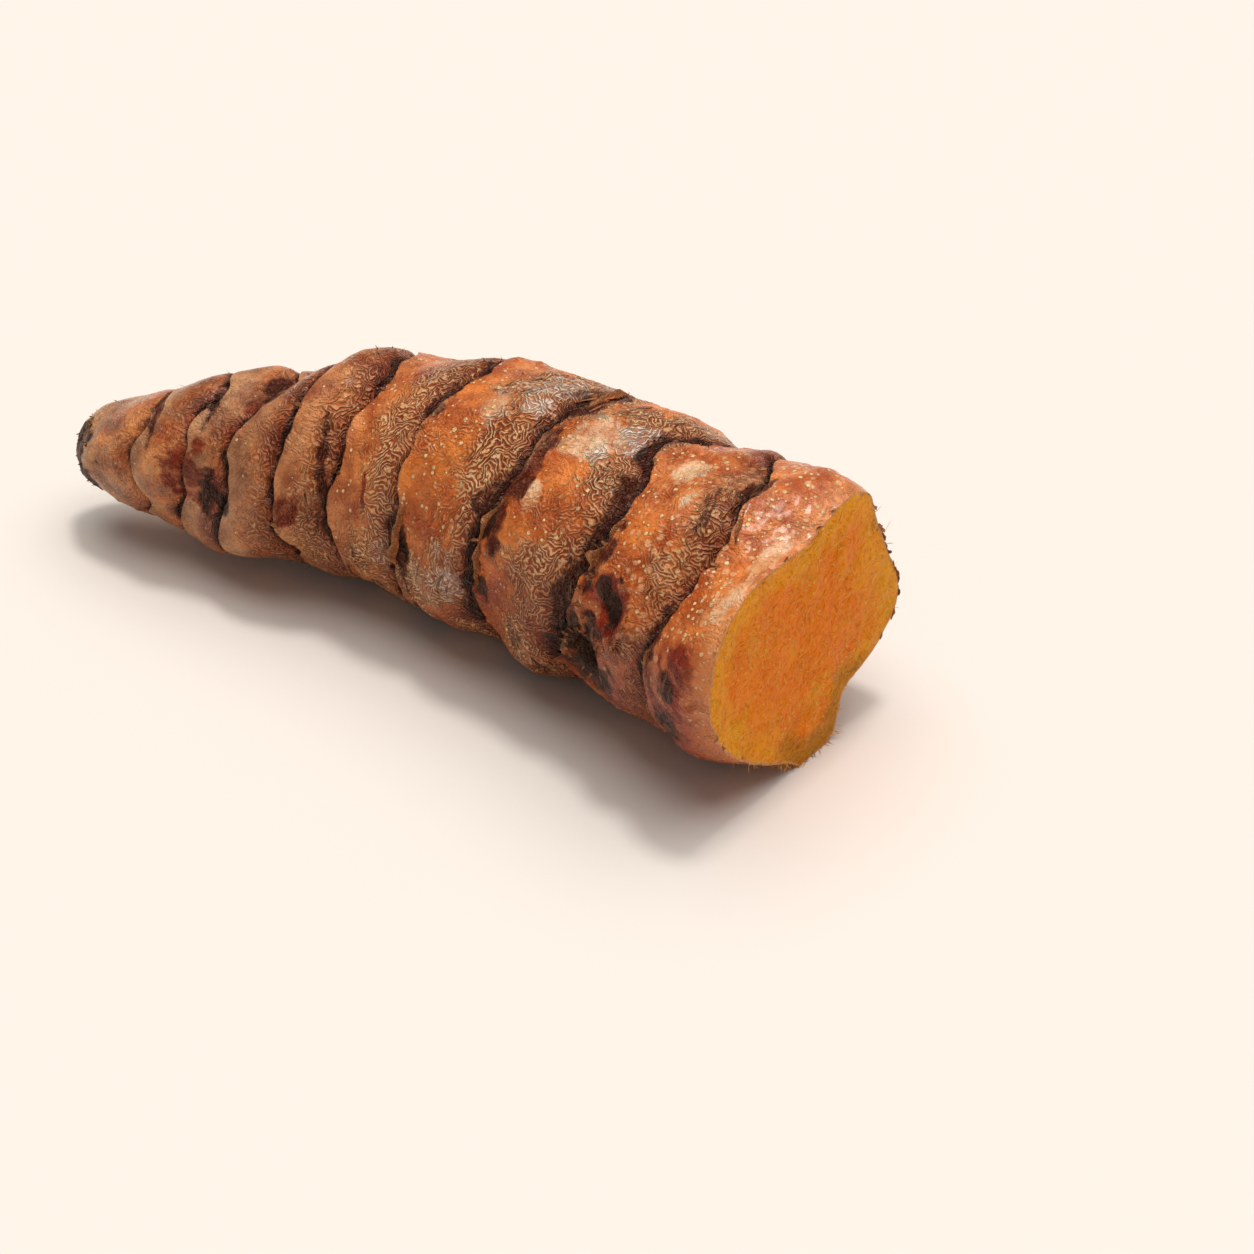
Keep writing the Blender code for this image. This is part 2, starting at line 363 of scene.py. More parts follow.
def ring_stations(angle):
    """Station of the growing end, of each leaf ring and of the cut, at every angle.

    A ring's station is its mean, plus a cosine and a sine of the angle that lean it, plus a
    cosine of twice the angle that bows it, so it meets its four given crossings. Each kink adds
    a bell curve, and seeded waves add a small waver.
    """
    rng = np.random.default_rng(SEED)
    top, near, under, far = RINGS.T[..., None]
    mean = (top + near + under + far) / 4
    course = mean + (top - under) / 2 * np.cos(angle) + (near - far) / 2 * np.sin(angle)
    course = course + (top + under - near - far) / 4 * np.cos(2 * angle)
    for number, degrees, shift, half_width in KINKS:
        course[number - 1] += shift * MM * bell_curve(angle, degrees, half_width)
    for waves in WAVER_WAVES:
        phase = rng.uniform(0, 2 * math.pi, (len(RINGS), 1))
        course = course + WAVER / math.sqrt(waves) * np.sin(waves * angle + phase)
    return np.vstack([np.full(len(angle), TIP_STATION), course, cut_station(angle)])


def cut_plane():
    """A point of the flat cut, the direction it looks, and the middle line's frame there."""
    middle, ahead, side, up = (row[0] for row in path_frame(np.array([CUT_STATION])))
    facing = np.array([math.cos(CUT_HEADING), math.sin(CUT_HEADING), 0.0])
    return middle, facing, ahead, side, up


def cut_outline(angle):
    """Radius of the cut end at an angle."""
    degrees, radius = np.array(CUT_OUTLINE).T
    return MM * smooth_loop(degrees, radius, angle)


def cut_station(angle):
    """Station at which the skin meets the slanted plane of the cut."""
    facing, ahead, side, up = cut_plane()[1:]
    outwards = np.outer(np.cos(angle), up) + np.outer(np.sin(angle), side)
    return CUT_STATION - cut_outline(angle) * (outwards @ facing) / (ahead @ facing)


def lumps(station, angle):
    """Seeded waves along and round the root, the unevenness of a thing that grew."""
    rng = np.random.default_rng(SEED + 1)
    total = np.zeros_like(station)
    for _ in range(LUMP_WAVES):
        along = 2 * math.pi / rng.uniform(*LUMP_LENGTHS)
        around = rng.integers(1, 6)
        phase = rng.uniform(0, 2 * math.pi)
        total += LUMPS * np.sin(along * station + around * angle + phase)
    return total


def scar_distance(station, angle, radius, scar):
    """Distance on the skin from the middle of a bud scar."""
    along = station - scar[0] * MM
    around = radius * turn_between(angle, math.radians(scar[1]))
    return np.hypot(along, around)


def bud_scars(station, angle, radius):
    """Round marks of side buds: a pit with a flat floor, and a rim like a bell curve round it."""
    total = np.zeros_like(station)
    for scar in BUD_SCARS:
        size, depth, rim = scar[2:]
        away = scar_distance(station, angle, radius, scar)
        total += rim * MM * np.exp(-((away - size * MM) / RIM_WIDTH) ** 2)
        total -= depth * MM * np.exp(-((away / (PIT_SHARE * size * MM)) ** 4))
    return total


def girth_at(station):
    """Radius of a round section at a station."""
    return smooth(GIRTH[:, 0], GIRTH[:, 1], station)


def body_radius(station, angle):
    """Girth without relief: rounded at the growing end, with the cut's outline at the cut."""
    share = ramp(OUTLINE_FROM, OUTLINE_FULL, station)
    body = girth_at(station) * (1 - share) + cut_outline(angle) * share
    left = np.clip(1 - (station - TIP_STATION) / TIP_BLUNT, 0.0, 1.0)
    return body * np.sqrt(1 - left**2), left


def skin_radius(station, angle, passed, length, lip, groove):
    """Distance of the skin from the middle line, as in the solid.

    Between rings, passed is the share of the joint's length left behind. A swell is highest
    halfway. The lip falls off with the distance since the last ring, and the groove deepens
    towards the next. lip and groove are their strengths.
    """
    body, left = body_radius(station, angle)
    relief = SWELL * (4 * passed * (1 - passed) - 0.5)
    relief = relief + lip * LIP * np.exp(-passed * length / LIP_REACH)
    relief = relief - groove * GROOVE * np.exp(-(1 - passed) * length / GROOVE_REACH)
    relief = relief + lumps(station, angle) + bud_scars(station, angle, body)
    return body + relief * (1 - left)


def skin_point(station, radius, angle):
    """Point at that distance from the middle line, turned from up towards the near side."""
    middle, _, side, up = path_frame(station)
    outwards = np.cos(angle)[..., None] * up + np.sin(angle)[..., None] * side
    return middle + radius[..., None] * outwards


# %% [markdown]
# ## A fine grid over the same form
#
# The solid has about eight thousand triangles, which is plenty for its form and too few for skin. The
# dressed root repeats it on a grid of some four hundred rows and 230 columns. Rows sit closer together at
# the leaf rings, where the skin folds under the next lip, and at the growing end, where it closes.

# %% Rows and columns of the grid
COLUMNS = 230
ROWS_PER_MM = 2.9
LEAST_ROWS = 16
TIP_ROWS = 50
FACE_ROWS = 42
RING_CROWDING = 0.5      # how much closer rows sit at a ring: 0 evenly, 1 without limit
TIP_CROWDING = 0.95
JOINTS = len(RINGS) + 1


def crowded(count, crowding):
    """Shares from 0 up to but not 1, packed towards both ends by a sine."""
    share = np.arange(count) / count
    return share - crowding * np.sin(2 * math.pi * share) / (2 * math.pi)


def grid_rows():
    """Joint and share of the joint passed, for each row of skin from the growing end to the cut."""
    starts = np.concatenate([[TIP_STATION], RINGS.mean(axis=1), [CUT_STATION]])
    joint = []
    passed = []
    for number, length in enumerate(np.diff(starts)):
        count = TIP_ROWS if number == 0 else int(LEAST_ROWS + ROWS_PER_MM * length / MM)
        joint.append(np.full(count, number))
        passed.append(crowded(count, RING_CROWDING if number else TIP_CROWDING))
    joint.append([JOINTS - 1])
    passed.append([1.0])
    return np.concatenate(joint), np.concatenate(passed)


row_joint, row_passed = grid_rows()
column_angle = np.arange(COLUMNS) * 2 * math.pi / COLUMNS
print(len(row_joint), "rows of skin,", FACE_ROWS, "of flesh,", COLUMNS, "columns")

# %% [markdown]
# ## Ragged rings
#
# A leaf ring is the torn foot of a papery leaf. It wanders by a fraction of a millimetre and takes a few
# sharper bends, stands up as a lip in some places and lies flat in others, and leans over the groove before
# it. The wander and the lips are noise read round a circle, one circle for each ring.

# %% Wander and lips of the rings
WANDER = 0.55 * MM
WANDER_SIZE = 1.3 * MM
LIP_PATCH = 5.0 * MM      # length of a stretch of standing or flat lip
LIP_LEAST = 0.15
OVERHANG = 0.5 * MM       # how far a full lip leans towards the growing end
OVERHANG_REACH = 0.8 * MM
RING_STRENGTH = np.array([0.40, 0.45, 0.55, 0.62, 0.70, 1.0, 1.0, 1.0, 0.85])[:, None]   # faint if young
BENDS = (   # ring, degrees round, shift in mm, half width in degrees: too sharp for the solid's own rings
    (7, 44, 0.8, 16), (8, 45, 0.9, 20), (8, -6, -1.1, 18), (7, 66, -0.8, 12), (9, 25, 0.5, 15),
    (9, 84, -0.7, 14),
)


def round_the_ring(size, seed, octaves=2):
    """Noise about 0 along each ring, read on a circle of the ring's own girth and height."""
    place = RINGS.mean(axis=1)
    girth = girth_at(place)[:, None]
    circle = [girth * np.cos(column_angle), girth * np.sin(column_angle)]
    level = np.broadcast_to(place[:, None] * 3, circle[0].shape)
    return rough_noise(np.stack([*circle, level], axis=-1), size, seed, octaves)


solid_rings = ring_stations(column_angle)
rings = solid_rings.copy()
for number, degrees, shift, half_width in BENDS:
    rings[number] += shift * MM * bell_curve(column_angle, degrees, half_width)
rings[1:-1] += WANDER * RING_STRENGTH * round_the_ring(WANDER_SIZE, 21)
lip_share = LIP_LEAST + (RING_STRENGTH - LIP_LEAST) * ramp(-0.3, 0.35, round_the_ring(LIP_PATCH, 31))
groove_share = RING_STRENGTH * (0.5 + 0.5 * ramp(-0.4, 0.3, round_the_ring(LIP_PATCH, 41)))
print("rings moved by up to", round(float(np.abs(rings - solid_rings).max() / MM), 2), "mm")

# %% [markdown]
# ## Where every point lies
#
# Each point of the grid now gets its place: its joint, its angle, and its distance from the ring behind it
# and the ring ahead. A torn lip leans back, so the rows just past a ring are moved towards the growing end.
# The plain points, without any relief, are kept as well, because all noise is read at them.

# %% Places of the skin grid
joint_grid = np.broadcast_to(row_joint[:, None], (len(row_joint), COLUMNS))
angle_grid = np.broadcast_to(column_angle, joint_grid.shape)
passed_grid = np.broadcast_to(row_passed[:, None], joint_grid.shape)
length_grid = (rings[1:] - rings[:-1])[row_joint]
since_ring = passed_grid * length_grid               # distance on from the last ring
until_ring = (1 - passed_grid) * length_grid         # distance left to the next
lip_grid = np.vstack([np.zeros(COLUMNS), lip_share])[row_joint]
groove_grid = np.vstack([groove_share, np.zeros(COLUMNS)])[row_joint]
lean = OVERHANG * lip_grid * np.exp(-since_ring / OVERHANG_REACH)
station_grid = rings[row_joint] + since_ring - lean
plain_radius, rounding = body_radius(station_grid, angle_grid)
plain_points = skin_point(station_grid, plain_radius, angle_grid)
joint_lengths = (rings[1:] - rings[:-1]).mean(axis=1)
print("joint lengths in mm:", np.round(joint_lengths / MM, 1))

# %% [markdown]
# ## A map of the skin
#
# The skin isn't one finish. Just past a ring it is bare, smooth and orange. Further on a thin papery layer
# covers it, crazed into short ridges. Before the next ring lies a dark band of old leaf fibre. Each kind
# gets a map from 0 to 1 on the grid, made from the distance to the rings and from noise, and a few patches
# put where they grew. The materials and the relief both read these maps.
# Some maps are painted light: painted shade before each ring, in the ring lines and on the underside, and
# pale patches that are partly paler skin and partly painted highlight.

# %% Maps of the finishes
# One group for each joint from the growing end: width in mm of the dark band before the next ring,
# share of the joint that is bare, how much of the joint is crazed, and how deep its shade is
JOINT_LOOKS = np.array([
    (0.55, 0.60, 0.30, 0.85), (0.65, 0.60, 0.45, 1.05), (0.75, 0.50, 0.55, 1.10), (0.80, 0.42, 0.65, 1.15),
    (0.90, 0.40, 0.75, 1.15), (1.40, 0.38, 0.90, 1.10), (1.35, 0.50, 1.00, 1.15), (1.45, 0.52, 1.00, 1.15),
    (0.75, 0.62, 0.70, 1.00), (0.00, 1.20, 0.30, 0.00),
])
SHADE_REACH = 2.3 * MM
SOOT_REACH = 1.7 * MM      # how far the dark scales cover the growing end
SOOT_LEAN = 2.2 * MM       # how much further they reach on one side
SOOT_ANGLE = 2.3           # that side, in radians round
RING_LINE_AND_SHADE_WIDTH = 0.65 * MM     # the black line at a ring, partly a dark ring line and partly painted shade in the groove before it
WET_WIDTH = 2.6 * MM       # moist skin beside the cut
UNDERSIDE_SHADE_DEGREES = (45, 108)    # from the first to the second, the skin turns to its darker underside: painted shade
PAPER_DEGREES = (100, 150)     # from the first to the second, the back turns to plain papery skin
PAPER_MIDDLE = 0.3         # angle from which those are measured, in radians round
# Station and angle of the middle, half length along the root and half width round it in mm
STAINS = (
    (12.6, 74, 1.5, 2.3), (14.4, 80, 2.2, 1.9), (21.4, 84, 1.0, 1.4), (14.0, 50, 0.8, 1.2),
    (60.6, 69, 2.5, 3.0), (60.0, 78, 1.6, 2.2), (68.6, 102, 1.6, 2.6), (69.8, 80, 2.1, 2.8),
    (45.0, 84, 1.6, 2.6), (66.9, 88, 0.7, 2.4), (30.2, 66, 0.5, 1.4),
    (17.4, 20, 0.8, 2.4), (52.0, -60, 2.0, 3.0), (33.0, 200, 1.6, 3.5), (60.0, 215, 2.2, 3.5),
)
PITCH_SPOTS = (
    (58.4, 100, 3.2, 3.8), (57.0, 97, 2.0, 2.6), (60.0, 104, 1.8, 2.4), (61.0, 72, 0.9, 1.1),
    (59.8, 64, 0.6, 0.9), (46.4, 62, 0.6, 1.6), (46.4, 92, 0.6, 1.6), (36.0, 84, 0.8, 1.6),
    (15.9, 88, 0.8, 0.8), (49.6, -98, 2.6, 2.8), (31.6, -84, 1.6, 1.7), (57.0, 110, 1.6, 2.0),
)
DARK_PATCHES = (
    (47.6, -8, 1.1, 3.5), (47.6, 20, 0.9, 2.5), (47.6, 40, 1.3, 2.7), (46.2, 56, 1.8, 2.6),
    (45.6, 75, 0.9, 3.0), (55.6, 0, 0.7, 2.5), (57.0, 30, 0.9, 2.5), (57.6, 50, 1.5, 3.2),
    (55.9, 78, 1.3, 4.0), (57.8, 99, 3.2, 3.6), (56.4, 108, 2.4, 3.0), (48.2, 43, 0.9, 1.8),
    (59.0, 82, 1.6, 1.4), (24.9, 58, 0.5, 3.2), (35.2, 90, 0.9, 2.8), (36.0, 20, 0.8, 2.5),
    (18.6, 0, 1.2, 2.4), (14.6, 84, 0.7, 1.8), (9.0, 12, 0.4, 2.4), (14.2, 14, 0.5, 2.8),
    (68.3, 106, 1.5, 2.2), (65.8, 0, 0.6, 2.4), (66.3, 76, 0.7, 4.0), (68.9, 82, 1.0, 1.6),
    (61.0, 70, 0.9, 1.2), (59.0, 52, 0.7, 1.4), (46.0, -75, 1.6, 4.0), (56.5, -70, 1.8, 4.0),
    (35.8, 150, 1.2, 5.0), (46.2, 160, 1.8, 5.0), (55.8, 170, 1.8, 5.0),
)
# Pale patches: partly paler skin, partly painted highlight on the tops of the joints and by the cut
PALE_AND_HIGHLIGHT_PATCHES = (
    (51.2, 12, 2.4, 2.6), (49.9, 46, 0.8, 1.6), (53.6, 4, 1.8, 2.2), (60.0, 4, 1.2, 1.8),
    (41.5, 16, 1.4, 2.6), (32.5, 96, 1.6, 2.6), (39.0, 106, 2.2, 2.8), (42.6, 92, 2.0, 2.8),
    (71.0, 24, 0.8, 2.6), (71.6, 44, 0.7, 2.2), (44.0, -4, 2.0, 3.0), (62.5, 22, 0.9, 1.6),
)
PAPER_PATCHES = (
    (47.5, -14, 2.2, 5.0), (55.0, 0, 2.4, 5.5), (34.5, 100, 2.0, 3.4), (28.5, 98, 2.0, 3.0),
    (36.5, 112, 2.2, 4.5), (42.0, 96, 2.8, 4.0), (65.0, 20, 1.6, 4.0), (23.0, 110, 2.0, 5.0),
    (50.0, 118, 2.5, 3.5), (42.0, -10, 2.0, 4.0), (45.0, 160, 5.0, 8.0), (26.0, 180, 5.0, 7.0),
    (58.0, 170, 4.0, 8.0),
)


def patches(places, edge_noise):
    """1 inside ellipses on the skin whose edges are moved in and out by the noise, 0 outside."""
    total = np.zeros_like(station_grid)
    for place, degrees, half_length, half_width in places:
        along = (station_grid - place * MM) / (half_length * MM)
        around = plain_radius * turn_between(angle_grid, math.radians(degrees)) / (half_width * MM)
        inside = ramp(1.5, 0.6, np.hypot(along, around) + edge_noise)
        total = np.maximum(total, inside)
    return total


coarse = rough_noise(plain_points, 3.2 * MM, 51)
middling = rough_noise(plain_points, 1.5 * MM, 61, octaves=4)
dark_width, bare_share, crazing, shading = (JOINT_LOOKS[row_joint, k][:, None] for k in range(4))
edge_noise = middling + 0.7 * coarse
spot_noise = 1.2 * middling + 0.5 * coarse
age = ramp(12 * MM, 38 * MM, station_grid)     # young joints are smoother and more even
dark_reach = dark_width * MM * (0.75 + (0.35 + 0.65 * age) * (1.3 * coarse + 0.6 * middling))
dark_map = ramp(0.7 * MM, -0.5 * MM, until_ring - dark_reach) * (joint_grid < JOINTS - 1)
dark_map = np.maximum(dark_map, patches(DARK_PATCHES, edge_noise))
# Pale patches: partly paler skin, partly painted highlight
pale_and_highlight_map = patches(PALE_AND_HIGHLIGHT_PATCHES, edge_noise)
stain_map = patches(STAINS, spot_noise)
pitch_map = patches(PITCH_SPOTS, spot_noise)
round_the_back = np.abs(turn_between(angle_grid, PAPER_MIDDLE))
back = ramp(*np.radians(PAPER_DEGREES), round_the_back)
paper_map = np.maximum(patches(PAPER_PATCHES, 1.4 * coarse + 0.8 * middling), back)
bare_reach = bare_share * length_grid * (1.0 + 1.1 * coarse + 0.5 * middling)
bare_map = ramp(1.7 * MM, -1.5 * MM, since_ring - bare_reach) * (1 - 0.85 * paper_map)
soot_edge = SOOT_REACH * (1 + 1.6 * coarse + 1.4 * middling) + SOOT_LEAN * np.cos(angle_grid - SOOT_ANGLE)
soot_map = ramp(1.5 * MM, -1.3 * MM, station_grid - TIP_STATION - soot_edge)
rim_map = ramp(0.35 * MM, 0.1 * MM, since_ring) * ramp(0.35, 0.75, lip_grid)
craze_map = np.clip(crazing * (1.1 - bare_map) + 0.8 * coarse, 0, 1)
wet_map = ramp(WET_WIDTH, 0.2 * MM, until_ring) * (joint_grid == JOINTS - 1)
shade_map = np.clip(shading * np.exp(-(until_ring / SHADE_REACH) ** 1.5) * (0.8 + 0.8 * coarse), 0, 1)
# Dark line at each ring: partly the ring's own dark line, partly painted shade in its groove
ring_line_and_shade_map = ramp(RING_LINE_AND_SHADE_WIDTH, 0.2 * MM, until_ring - 0.5 * MM * middling) * (joint_grid < JOINTS - 1)
# Painted shade on the underside, growing along the root and weaker where the skin is papery
underside_shade_start, underside_shade_full = (math.cos(math.radians(degrees)) for degrees in UNDERSIDE_SHADE_DEGREES)
underside_shade_map = ramp(underside_shade_start, underside_shade_full, np.cos(angle_grid) + 0.2 * coarse)
underside_shade_map = underside_shade_map * ramp(8 * MM, 60 * MM, station_grid) * (1 - 0.95 * paper_map)
print("bare share of the skin:", round(float(bare_map.mean()), 2), " dark:", round(float(dark_map.mean()), 2))

# %% [markdown]
# ## Relief
#
# The rest of the shape is low relief on top of the solid's own: soft dents and pimples, folds that run along
# with the rings where the skin is papery, and sunken dark bands. Most of it stays within a few tenths of a
# millimetre, so the root keeps its size. Only a few knobs in and round the bud scars stand higher.

# %% Relief of the skin and the skin points
DENT = 0.32 * MM
DENT_SIZE = 2.6 * MM
PIMPLE = 0.16 * MM
PIMPLE_SIZE = 0.9 * MM
FOLD = 0.07 * MM
FOLD_SPACING = 0.75 * MM
DARK_SINK = 0.16 * MM
PITCH_SINK = 0.25 * MM
TIP_ROUGH = 0.5 * MM
LEAST_RADIUS = 0.02 * MM
KNOBS = (   # station and angle of the middle, radius and height in mm
    (59.8, 66, 0.9, 0.75), (60.4, 79, 0.8, 0.45), (59.3, 54, 0.7, 0.35), (45.6, 92, 0.9, 0.35),
    (68.6, 84, 1.6, 0.30), (49.6, -98, 1.3, 0.70), (31.6, -84, 0.9, 0.45), (53.0, 40, 1.8, 0.30),
)

folds = np.sin(2 * math.pi * (since_ring / FOLD_SPACING + 1.8 * coarse))
relief = DENT * rough_noise(plain_points, DENT_SIZE, 71) + PIMPLE * rough_noise(plain_points, PIMPLE_SIZE, 81)
swell = SWELL * (4 * passed_grid * (1 - passed_grid) - 0.5)
relief = relief * (0.45 + 0.55 * age) - 0.45 * swell * (1 - age)     # young joints hardly swell
for place, degrees, size, height in KNOBS:
    away = scar_distance(station_grid, angle_grid, plain_radius, (place, degrees))
    relief += height * MM * np.exp(-((away / (size * MM)) ** 2))
relief += FOLD * folds * np.maximum(paper_map, dark_map)
relief -= DARK_SINK * dark_map * (1 - rim_map) + PITCH_SINK * pitch_map
relief += TIP_ROUGH * soot_map * rough_noise(plain_points, 1.1 * MM, 91)
skin_distance = skin_radius(station_grid, angle_grid, passed_grid, length_grid, lip_grid, groove_grid)
skin_distance = np.maximum(skin_distance + relief * (1 - rounding**4), LEAST_RADIUS)
skin_points = skin_point(station_grid, skin_distance, angle_grid)
print("relief in mm:", np.round(np.percentile(relief / MM, [1, 50, 99]), 2))

# %% [markdown]
# ## The cut
#
# A knife leaves a flat face, but a fibrous one: bundles of fibre pull out into low ridges, which begin a
# little way in from the skin. The rows shrink towards the middle, like the rings of a target.

# %% Rows of the cut face
FLESH_RIDGE = 0.34 * MM
FLESH_GRAIN = 0.18 * MM
EDGE_ROUND = 0.5 * MM      # the relief of the flesh starts this far in from the skin

cut_point, cut_facing, cut_ahead, _, _ = cut_plane()
short_of_cut = ((cut_point - skin_points[-1]) @ cut_facing) / (cut_ahead @ cut_facing)
skin_points[-1] += short_of_cut[:, None] * cut_ahead


def pressed(points):
    """Points brought down by the resting cut, and never below the surface that the root lies on."""
    lowered = points - [0.0, 0.0, RESTING_CUT]
    lowered[..., 2] = np.maximum(lowered[..., 2], 0.0)
    return lowered


skin_points = pressed(skin_points)
cut_edge = skin_points[-1]
cut_centre = cut_edge.mean(axis=0)
face_share = 1 - np.arange(1, FACE_ROWS + 1)[:, None] / (FACE_ROWS + 1)
face_points = cut_centre + face_share[..., None] * (cut_edge - cut_centre)
inward = (1 - face_share) * np.linalg.norm(cut_edge - cut_centre, axis=-1)
face_relief = FLESH_RIDGE * rough_noise(face_points, 2.4 * MM, 101)
face_relief += FLESH_GRAIN * rough_noise(face_points, 0.8 * MM, 111)
face_points = face_points + (face_relief * ramp(0.0, EDGE_ROUND, inward))[..., None] * cut_facing
face_points[..., 2] = np.maximum(face_points[..., 2], 0.0)
print("cut is", np.round(np.ptp(cut_edge, axis=0) / MM, 1), "mm across along X, Y and Z")

# %% [markdown]
# ## One closed body
#
# The rows become one surface, closed by a point at the growing end and one in the middle of the cut. Each
# map goes onto the points as an attribute, which the materials read by name. The edge of the cut is marked
# sharp, so light breaks there as it does at a knife's edge.

# %% Build the body
CORNER_ANGLE = math.radians(196)     # the thin lower far corner of the cut


def tube_faces(rows, columns):
    """Faces of a tube whose points lie in rows that each go round once: quads, then triangles.

    Points k and k + 1 of rows i and i + 1 make a quad. Fans close both ends. The point of the
    first fan follows the last row, and the point of the second fan follows that.
    """
    k = np.arange(columns)
    after = (k + 1) % columns
    row = np.arange(rows - 1)[:, None] * columns
    quads = np.stack([row + k, row + after, row + columns + after, row + columns + k], -1)
    foot = np.full(columns, rows * columns)
    start = np.stack([foot, after, k], -1)
    end = np.stack([foot + 1, foot - columns + k, foot - columns + after], -1)
    return quads.reshape(-1, 4), np.vstack([start, end])


def add_piece(name, points, *faces):
    """A smooth object, from an array of points and arrays of faces."""
    mesh = bpy.data.meshes.new(name)
    mesh.from_pydata(points.tolist(), [], [corners for group in faces for corners in group.tolist()])
    mesh.shade_smooth()
    return put(name, mesh)


def add_map(piece, name, values, kind="FLOAT", slot="value"):
    """One number for each point, or one vector, as an attribute that a material can read."""
    layer = piece.data.attributes.new(name, kind, "POINT")
    layer.data.foreach_set(slot, np.ascontiguousarray(values, np.float32).ravel())


def over_the_body(skin_values, face_values=0.0):
    """A skin map and a face map as one list that also covers the two closing points."""
    face = np.broadcast_to(face_values, (FACE_ROWS, COLUMNS))
    return np.concatenate([skin_values.ravel(), face.ravel(), [skin_values[0].mean(), face[-1].mean()]])


body_rows = np.concatenate([skin_points, face_points])
body_ends = (skin_points[0].mean(axis=0), face_points[-1].mean(axis=0))
body_points = np.vstack([body_rows.reshape(-1, 3), *body_ends])
root = add_piece("root_body", body_points, *tube_faces(len(body_rows), COLUMNS))
for map_name, values in (
    ("dark", dark_map), ("stain", stain_map), ("pitch", pitch_map), ("paper", paper_map), ("bare", bare_map),
    ("soot", soot_map), ("rim", rim_map), ("craze", craze_map), ("wet", wet_map), ("shade", shade_map),
    ("low", underside_shade_map), ("pale_and_highlight", pale_and_highlight_map), ("ring_line_and_shade", ring_line_and_shade_map), ("station", station_grid / MM),
):
    add_map(root, map_name, over_the_body(values))
nothing = np.zeros_like(station_grid)
add_map(root, "inward", over_the_body(nothing, inward / MM))
corner = ramp(0.6, 1.0, np.cos(column_angle - CORNER_ANGLE)) * ramp(4.5 * MM, 0.5 * MM, inward)
add_map(root, "corner", over_the_body(nothing, corner))
run = (plain_radius * np.cos(angle_grid), plain_radius * np.sin(angle_grid), since_ring + joint_grid * 0.1)
run_rows = np.stack([over_the_body(values / MM) for values in run], -1)
add_map(root, "ringwise", run_rows, "FLOAT_VECTOR", "vector")

edge_ends = np.empty(len(root.data.edges) * 2, np.int32)
root.data.edges.foreach_get("vertices", edge_ends)
on_cut_edge = edge_ends.reshape(-1, 2) // COLUMNS == len(row_joint) - 1
sharp = root.data.attributes.new("sharp_edge", "BOOLEAN", "EDGE")
sharp.data.foreach_set("value", on_cut_edge.all(axis=1))
flesh_faces = np.arange(len(root.data.polygons)) // COLUMNS >= len(row_joint) - 1
flesh_faces[-2 * COLUMNS:-COLUMNS] = False     # the fan at the growing end is skin
print("body:", len(root.data.vertices), "points,", len(root.data.polygons), "faces")

# %% [markdown]
# ## Shader maths as Python
#
# A material is a network of nodes, and long networks are hard to read. Here a small class stands for one
# socket and turns plus, minus and times into Math nodes, so a finish reads like a formula. Every other node
# comes from one method, which sets the node's own settings before its sockets.

# %% The wire and the paint box
WARM_GLOSS = (1.0, 0.78, 0.60, 1.0)
COVER = "MIX"           # a layer that hides what is under it
TINT = "MULTIPLY"       # a layer like a coloured filter


def maths(operation, reflected=False):
    """A method that puts one Math node between a wire and another wire or a number."""

    def method(wire, other):
        left, right = (other, wire) if reflected else (wire, other)
        return wire.paint.node("ShaderNodeMath", {"operation": operation}, {0: left, 1: right})

    return method


class Wire:
    """The value that leaves one socket of a material, for use in Python expressions."""

    def __init__(self, paint, socket):
        self.paint = paint
        self.socket = socket

    __add__ = maths("ADD")
    __radd__ = maths("ADD", reflected=True)
    __sub__ = maths("SUBTRACT")
    __rsub__ = maths("SUBTRACT", reflected=True)
    __mul__ = maths("MULTIPLY")
    __rmul__ = maths("MULTIPLY", reflected=True)
    most = maths("MAXIMUM")

    def twin(self, out):
        """Another output of the same node."""
        return Wire(self.paint, self.socket.node.outputs[out])


